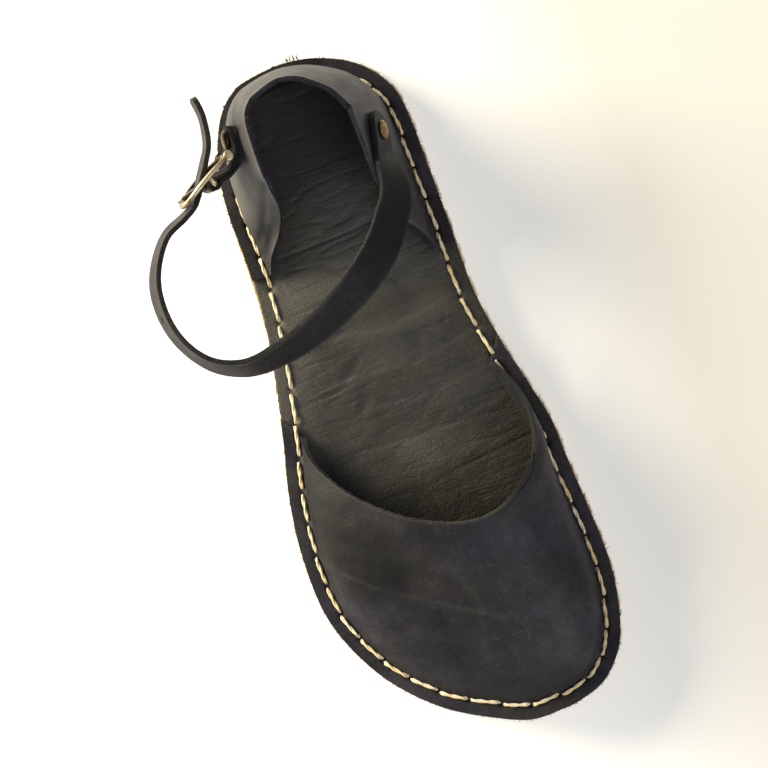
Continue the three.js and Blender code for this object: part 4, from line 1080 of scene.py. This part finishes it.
def make_strap(
    name, route, width, thickness, steps, finishes, ends=(1, 1), waves=0.25, seed=31, holes=(), dark=1
):
    """A strap along a route: its section stays upright but for its lean. An end is rounded by its number,
    1 for a half circle, and closed by a fan of faces. Holes are punched at ways along it, as pits that
    nearly meet, of depth exp(-(distance / radius)^6), and painted black as shade. From its start up to the
    way dark, painted shade makes the leather darker."""
    line, way = centred_spline(route, steps)
    at, lean = line[:, :3], np.radians(line[:, 3])
    forward = unit(np.gradient(at, axis=0))
    left = unit(np.stack([-forward[:, 1], forward[:, 0], 0 * lean], -1))
    face = left * np.cos(lean)[:, None] + np.array(UPRIGHT) * np.sin(lean)[:, None]
    side = unit(np.cross(forward, face))
    face = np.cross(side, forward)
    half = width / 2
    narrow = np.ones(steps)
    for distance, number in ((way, ends[0]), (way[-1] - way, ends[1])):
        reach = half * number
        if number:
            short = np.clip((reach - np.maximum(distance, 0.02 * reach)) / reach, 0, None)
            narrow = np.minimum(narrow, np.sqrt(1 - short**2))
    loop = strap_loop(width, thickness)
    ragged = 0.12 * lumps(np.stack([way, 0 * way, 0 * way], -1), 3.1, seed)
    ragged += 0.08 * lumps(np.stack([way, 0 * way, 0 * way], -1), 1.1, seed + 1)
    across = loop[:, 0] * narrow[:, None] + np.where(np.abs(loop[:, 0]) > half - 1, ragged[:, None], 0)
    points = at[:, None] + across[..., None] * side[:, None] + loop[:, 1, None] * face[:, None]
    points = points + waves * lumps(points, 12, seed + 2)[..., None] * 0.5 * face[:, None]
    punched = np.zeros(points.shape[:2])
    for hole in holes:
        apart = np.hypot(way[:, None] - hole, across)
        punched += np.exp(-((apart / HOLE_RADIUS) ** 6)) * (np.abs(loop[:, 0]) < half - 0.5)
    points -= (0.42 * thickness * punched * np.sign(loop[:, 1]))[..., None] * face[:, None]
    count = len(loop)
    faces = grid_faces(steps, count, ring=True)
    edge_columns = np.abs(loop[:, 0] + np.roll(loop[:, 0], -1)) / 2 > half - 0.3
    under_columns = ~edge_columns & (loop[:, 1] < 0)
    kinds = np.where(edge_columns, 2, np.where(under_columns, 1, 0))
    parts = np.tile(kinds, steps - 1)
    half_loop = count // 2
    pairs = np.arange(half_loop - 1)
    cap = np.stack([pairs, pairs + 1, count - 2 - pairs, count - 1 - pairs], -1)
    faces = np.vstack([faces, cap, cap[:, ::-1] + (steps - 1) * count])
    parts = np.concatenate([parts, np.full(2 * len(cap), 2)])
    worn = 0.5 * bell(half - np.abs(loop[:, 0]), 0.9) + 0 * way[:, None]
    darker = 0.6 * clamp((dark - way) / 20)[:, None]
    worn = worn * (1 - darker)
    piece = make_piece(name, points, faces, finishes, parts, worn=worn, pitted=np.maximum(punched, darker))
    return piece, (at, side, face)


strap_offset = GAP + STRAP / 2
under_wire = -(WIRE / 2 + GAP + STRAP / 2)
route = [seat_row(seat, strap_offset) for seat in seats_past(INNER_RIVET, STRAP_TAIL, STRAP_LEAVES)]
route += [loop_row(*row) for row in STRAP_LOOP]
for under, out_by, along in STRAP_IN_BUCKLE:
    x = strap_offset + under * (under_wire - strap_offset) + out_by * STRAP
    route.append(in_buckle(x, along * HALF_LENGTH, 1, 0))
route += [loop_row(*row) for row in STRAP_END]

STRAP_TONES = (tone(25, 24, 26), tone(34, 33, 35), tone(46, 45, 45))
strap_leather = oiled_leather("strap_leather", STRAP_TONES, tone(104, 102, 92), rough=(0.5, 0.68), sheen=0.17)
# Painted shade on the strap's first 75 mm, by the inner rivet.
ankle_strap, strap_line = make_strap(
    "dressed_ankle_strap", route, STRAP_WIDTH, STRAP, 600, [strap_leather, flesh_side, cut_edge],
    ends=(1, 0.25), holes=PUNCHED, dark=75,
)
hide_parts("ankle_strap")


# Buckle strap: a short strap that is folded round the buckle's bar. Both its plies are riveted to the outer
# side of the counter.
PLY_WAY = [(-0.7, -1.02, 0), (-0.85, -0.68, 0), (-0.2, -0.3, 0.35)]
fold_radius = BAR / 2 + GAP + PLY / 2
ply_offset, ply_pitch = GAP + PLY / 2, PLY + GAP
ply_seats = seats_past(OUTER_RIVET, PLY_TAIL, PLY_LEAVES)


def ply_row(out, along, parted, facing):
    """A row of the route of the inner ply, facing -1, or the outer one, 1: the plies lie apart by a ply's
    pitch, and where they part round the bar by the fold's width."""
    apart = ply_pitch / 2 + parted * (fold_radius - ply_pitch / 2)
    return in_buckle(BAR_IN + out * BAR + facing * apart, along * HALF_LENGTH, facing, 0)


fold_ways = [(np.sin(a), np.cos(a)) for a in np.linspace(-np.pi / 2, np.pi / 2, 5)]
fold = [in_buckle(BAR_IN + fold_radius * x, fold_radius * y, x, y) for x, y in fold_ways]
route = [seat_row(seat, ply_offset, -1) for seat in ply_seats]
route += [ply_row(*row, -1) for row in PLY_WAY] + fold + [ply_row(*row, 1) for row in PLY_WAY[::-1]]
route += [seat_row(seat, ply_offset + ply_pitch) for seat in ply_seats[::-1]]
buckle_strap, ply_line = make_strap(
    "dressed_buckle_strap", route, STRAP_WIDTH, PLY, 240, [strap_leather, flesh_side, cut_edge],
    waves=0.1, seed=41,
)
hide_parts("buckle_strap")


# Buckle: an oval frame of flattened nickelled wire that bows out a little, a bar across its middle, and a
# prong curled round the bar whose tongue comes out through the strap to the frame's front end.
FRAME_STEPS, WIRE_CORNERS = 144, 20
angle = even_angles(FRAME_STEPS)


def squared(value):
    """A sine or cosine made squarer: its size to the power 0.75."""
    return np.sign(value) * np.abs(value) ** 0.75


def bow(y):
    """How far the frame stands out at a distance from its middle: a parabola."""
    return ARCH * (1 - (y / HALF_LENGTH) ** 2)


ring_y, ring_z = HALF_LENGTH * squared(np.cos(angle)), HALF_HEIGHT * squared(np.sin(angle))
ring = np.stack([bow(ring_y), ring_y, ring_z], -1)
fine = np.vstack([ring, ring[:1]])
way = way_along(fine)
ring = sampled(np.linspace(0, way[-1], FRAME_STEPS, endpoint=False), way, fine)
side = unit(np.cross(np.roll(ring, -1, 0) - np.roll(ring, 1, 0), (1, 0, 0)))
wire_angle = even_angles(WIRE_CORNERS)
broad, deep = squared(np.cos(wire_angle)) * WIRE_WIDTH / 2, squared(np.sin(wire_angle)) * WIRE / 2
ring_skin = ring[:, None] + broad[:, None] * side[:, None] + deep[:, None] * np.array((1, 0, 0))
ring_skin = np.vstack([ring_skin, ring_skin[:1]])
ring_faces = grid_faces(FRAME_STEPS + 1, WIRE_CORNERS, ring=True)

bar_rows = [(0.7, 0.97), (1, 0.87), (1, 0.75), (1, -0.75), (1, -0.87), (0.7, -0.97)]
bar_path = [(ARCH, 0, HALF_HEIGHT)] + [(BAR_IN * x, 0, z * HALF_HEIGHT) for x, z in bar_rows]
bar_path += [(ARCH, 0, -HALF_HEIGHT)]
bar_line, _ = centred_spline(bar_path, 40)
bar_skin, bar_faces = rod(bar_line, (0, 1, 0), BAR / 2, 16)
# A post with a flat round head at both ends stands through the frame's rear end.
post_z = np.array((-0.9, -0.89, -0.84, -0.72, -0.69, 0.69, 0.72, 0.84, 0.89, 0.9)) * HALF_HEIGHT
post_radius = np.array((1.5, 1.85, 2.05, 2.05, 1.2, 1.2, 2.05, 2.05, 1.85, 1.5))
post_line = np.stack([0 * post_z + 0.2, 0 * post_z - 0.92 * HALF_LENGTH, post_z], -1)
post_skin, post_faces = rod(post_line, (1, 0, 0), post_radius, 24)
points = np.vstack([skin.reshape(-1, 3) for skin in (ring_skin, bar_skin, post_skin)])
frame_faces = ring_faces.tolist()
for more, start in ((bar_faces, ring_skin.size // 3), (post_faces, (ring_skin.size + bar_skin.size) // 3)):
    frame_faces += [[number + start for number in face] for face in more]

nickel = Finish("nickel", Metallic=1)
dull = nickel.clouds(3, detail=5, rough=0.7)
nickel.wear(
    Base_Color=nickel.mix(
        nickel.mark("tarnished"),
        nickel.ramp(dull, (0.35, tone(168, 150, 118)), (0.55, tone(196, 182, 152))),
        tone(52, 44, 34),
    ),
    Roughness=nickel.ramp(nickel.clouds(1.2, detail=4), (0.3, 0.34), (0.7, 0.46)),
)
nickel.relief((nickel.clouds(0.8, detail=2), 0.008))
# Painted shade: the frame darkens towards its lower rail.
tarnished = clamp(0.4 - points[:, 2] / HALF_HEIGHT)
buckle_frame = make_piece("dressed_buckle_frame", on_shoe(points), frame_faces, [nickel], tarnished=tarnished)
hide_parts("buckle_frame")

coil = BAR / 2 + GAP + PRONG / 2
rest = np.array((WIRE * 0.6 + GAP + PRONG / 2, HALF_LENGTH - WIRE_WIDTH / 2))
lift = np.arctan2(rest[0] - (BAR_IN + coil), rest[1])
curl_angle = np.linspace(0, -1.5 * np.pi + lift, 36)
curl = np.stack([BAR_IN + coil * np.sin(curl_angle), coil * np.cos(curl_angle)], -1)
tongue = curl[-1] + (rest - curl[-1]) * np.linspace(0.1, 1, 14)[:, None]
prong_line = np.vstack([curl, tongue, [(rest[0], HALF_LENGTH + WIRE_WIDTH * 0.3)]])
prong_line = np.concatenate([prong_line, np.zeros((len(prong_line), 1))], 1)
thick = PRONG / 2 * np.concatenate([[0.7], np.ones(len(prong_line) - 3), [0.85, 0.5]])
points, faces = rod(prong_line, (0, 0, 1), thick, 14)
wire = Finish("worn_prong_wire", Metallic=1)
coppery = wire.ramp(wire.clouds(1.5, detail=4), (0.35, tone(140, 118, 104)), (0.65, tone(190, 172, 160)))
wire.wear(Base_Color=coppery, Roughness=wire.ramp(wire.clouds(0.8, detail=3), (0.3, 0.25), (0.7, 0.45)))
buckle_prong = make_piece("dressed_buckle_prong", on_shoe(points), faces, [wire])
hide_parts("buckle_prong")


# Rivets: two-part tubular rivets of antique brass, a low domed cap outside and a smaller flat one inside.
RIVET_CAP, RIVET_DOME, RIVET_SHANK, RIVET_BACK, RIVET_BACK_RISE = 7.2, 1.3, 2.6, 6, 0.8
RIVET_CORNERS = 40
rivet_metal = Finish("antique_brass", Metallic=1)
patina = rivet_metal.clouds(1.3, detail=5, rough=0.7)
rivet_metal.wear(
    Base_Color=rivet_metal.ramp(patina, (0.35, tone(66, 50, 28)), (0.6, tone(146, 116, 68))),
    Roughness=rivet_metal.ramp(patina, (0.3, 0.5), (0.7, 0.3)),
)
rivet_metal.relief((rivet_metal.clouds(0.25, detail=3, stretch=(6, 1, 1)), 0.04))


def make_rivet(name, seat, stack):
    """A rivet turned about the line out of its seat: its profile is a smooth dome outside, a straight shank
    and a flat cap inside."""
    at, out = seat
    outside, inside = stack + GAP, -(UPPER + GAP)
    angle = np.linspace(0, np.pi / 2, 14)
    profile = [(0, inside - RIVET_BACK_RISE), (RIVET_BACK * 0.42, inside - RIVET_BACK_RISE)]
    profile += [(RIVET_BACK * 0.48, inside - 0.6), (RIVET_BACK / 2, inside - 0.4), (RIVET_BACK / 2, inside)]
    profile += [(RIVET_SHANK / 2, inside), (RIVET_SHANK / 2, outside), (RIVET_CAP / 2 - 0.1, outside)]
    profile += [(RIVET_CAP / 2, outside + 0.1)]
    profile += [(RIVET_CAP / 2 * np.cos(a), outside + 0.2 + (RIVET_DOME - 0.2) * np.sin(a)) for a in angle]
    radius, height = np.array(profile).T
    radius[-1] = 0
    across = unit(np.cross(out, UPRIGHT))
    ring = all_about(RIVET_CORNERS, across, np.cross(out, across))
    points = at + radius[:, None, None] * ring + height[:, None, None] * out
    faces = grid_faces(len(radius), RIVET_CORNERS, ring=True)
    rivet = make_piece(f"dressed_{name}", points, faces, [rivet_metal])
    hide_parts(name)


make_rivet("inner_rivet", inner_seat, GAP + STRAP)
make_rivet("outer_rivet", outer_seat, 2 * ply_pitch)


# Loose fibres: the leather's flesh comes apart along every cut edge into short dark hairs, longest in a tuft
# behind the heel and where the vamp begins on the inner side.
FIBRE, LONGEST_FIBRE, FIBRE_SPREAD, FIBRE_BEND = 0.07, 1.8, 0.16, 0.3


def fibres(name, edges):
    """Hairs as thin closed rods. Each edge gives their roots, the ways they head, with their length, and
    their number; they are dealt out along it at random and bend aside by the square of the distance."""
    roots, ways = [], []
    for root, way, number in edges:
        chosen = seeded.integers(0, len(root), number)
        length = np.minimum(seeded.gamma(2, 0.5, (number, 1)), LONGEST_FIBRE)
        roots.append(root[chosen])
        ways.append(length * (way[chosen] + seeded.normal(0, FIBRE_SPREAD, (number, 3))))
    roots, ways = np.vstack(roots), np.vstack(ways)
    share = np.linspace(0, 1, 3)[:, None]
    bend = np.linalg.norm(ways, axis=1)[:, None, None] * seeded.normal(0, FIBRE_BEND, (len(ways), 1, 3))
    paths = roots[:, None] + share * ways[:, None] + share**2 * bend
    across = unit(np.cross(ways, seeded.normal(size=ways.shape)))
    upward = unit(np.cross(across, ways))
    turned = [np.repeat(direction[:, None], len(share), axis=1) for direction in (across, upward)]
    radii = FIBRE * (1.3 - 0.8 * share[:, 0]) * seeded.uniform(0.7, 1.4, (len(ways), 1))
    points, faces = rods(paths, *turned, radii, 3)
    piece = make_piece(name, points, faces, [cut_edge])


def on_edge(line, outward, depth, thickness, number):
    """An edge for fibres: roots at random depths in the thickness behind a line, and ways outward."""
    chosen = seeded.integers(0, len(line), number)
    back = seeded.uniform(0, thickness, (number, 1))
    return line[chosen] + back * depth[chosen], outward[chosen], number


down = np.array((0, 0, -1.0))
upper_edges = [on_edge(collar_line, 0.3 * collar_up - 0.25 * collar_out, -collar_out, UPPER, 3800)]
for rim, outward in flange_rims:
    upper_edges.append(on_edge(rim, 0.42 * outward, 0 * rim + down, UPPER, 1700))
for rim, outward in throat_rims:
    upper_edges.append(on_edge(rim, 0.55 * outward, 0 * rim + down, UPPER, 1300))
tuft = np.array([(-4.6, -35.6), (-3.2, -35.7), (-1.8, -35.8), (-0.6, -35.8)])
tuft = raised(tuft, STACK - 0.6)
upper_edges.append((tuft, 0 * tuft + (0, -1.7, 0.3), 90))
fibres("upper_fibres", upper_edges)

strap_edges = []
for (at, side, face), width, thickness, number in (
    (strap_line, STRAP_WIDTH, STRAP, 1700), (ply_line, STRAP_WIDTH, PLY, 500),
):
    for hand in (-1, 1):
        rim = at + hand * width / 2 * side + thickness / 2 * face
        strap_edges.append(on_edge(rim[8:-8], 0.35 * hand * side[8:-8], -face[8:-8], thickness, number))
fibres("strap_fibres", strap_edges)
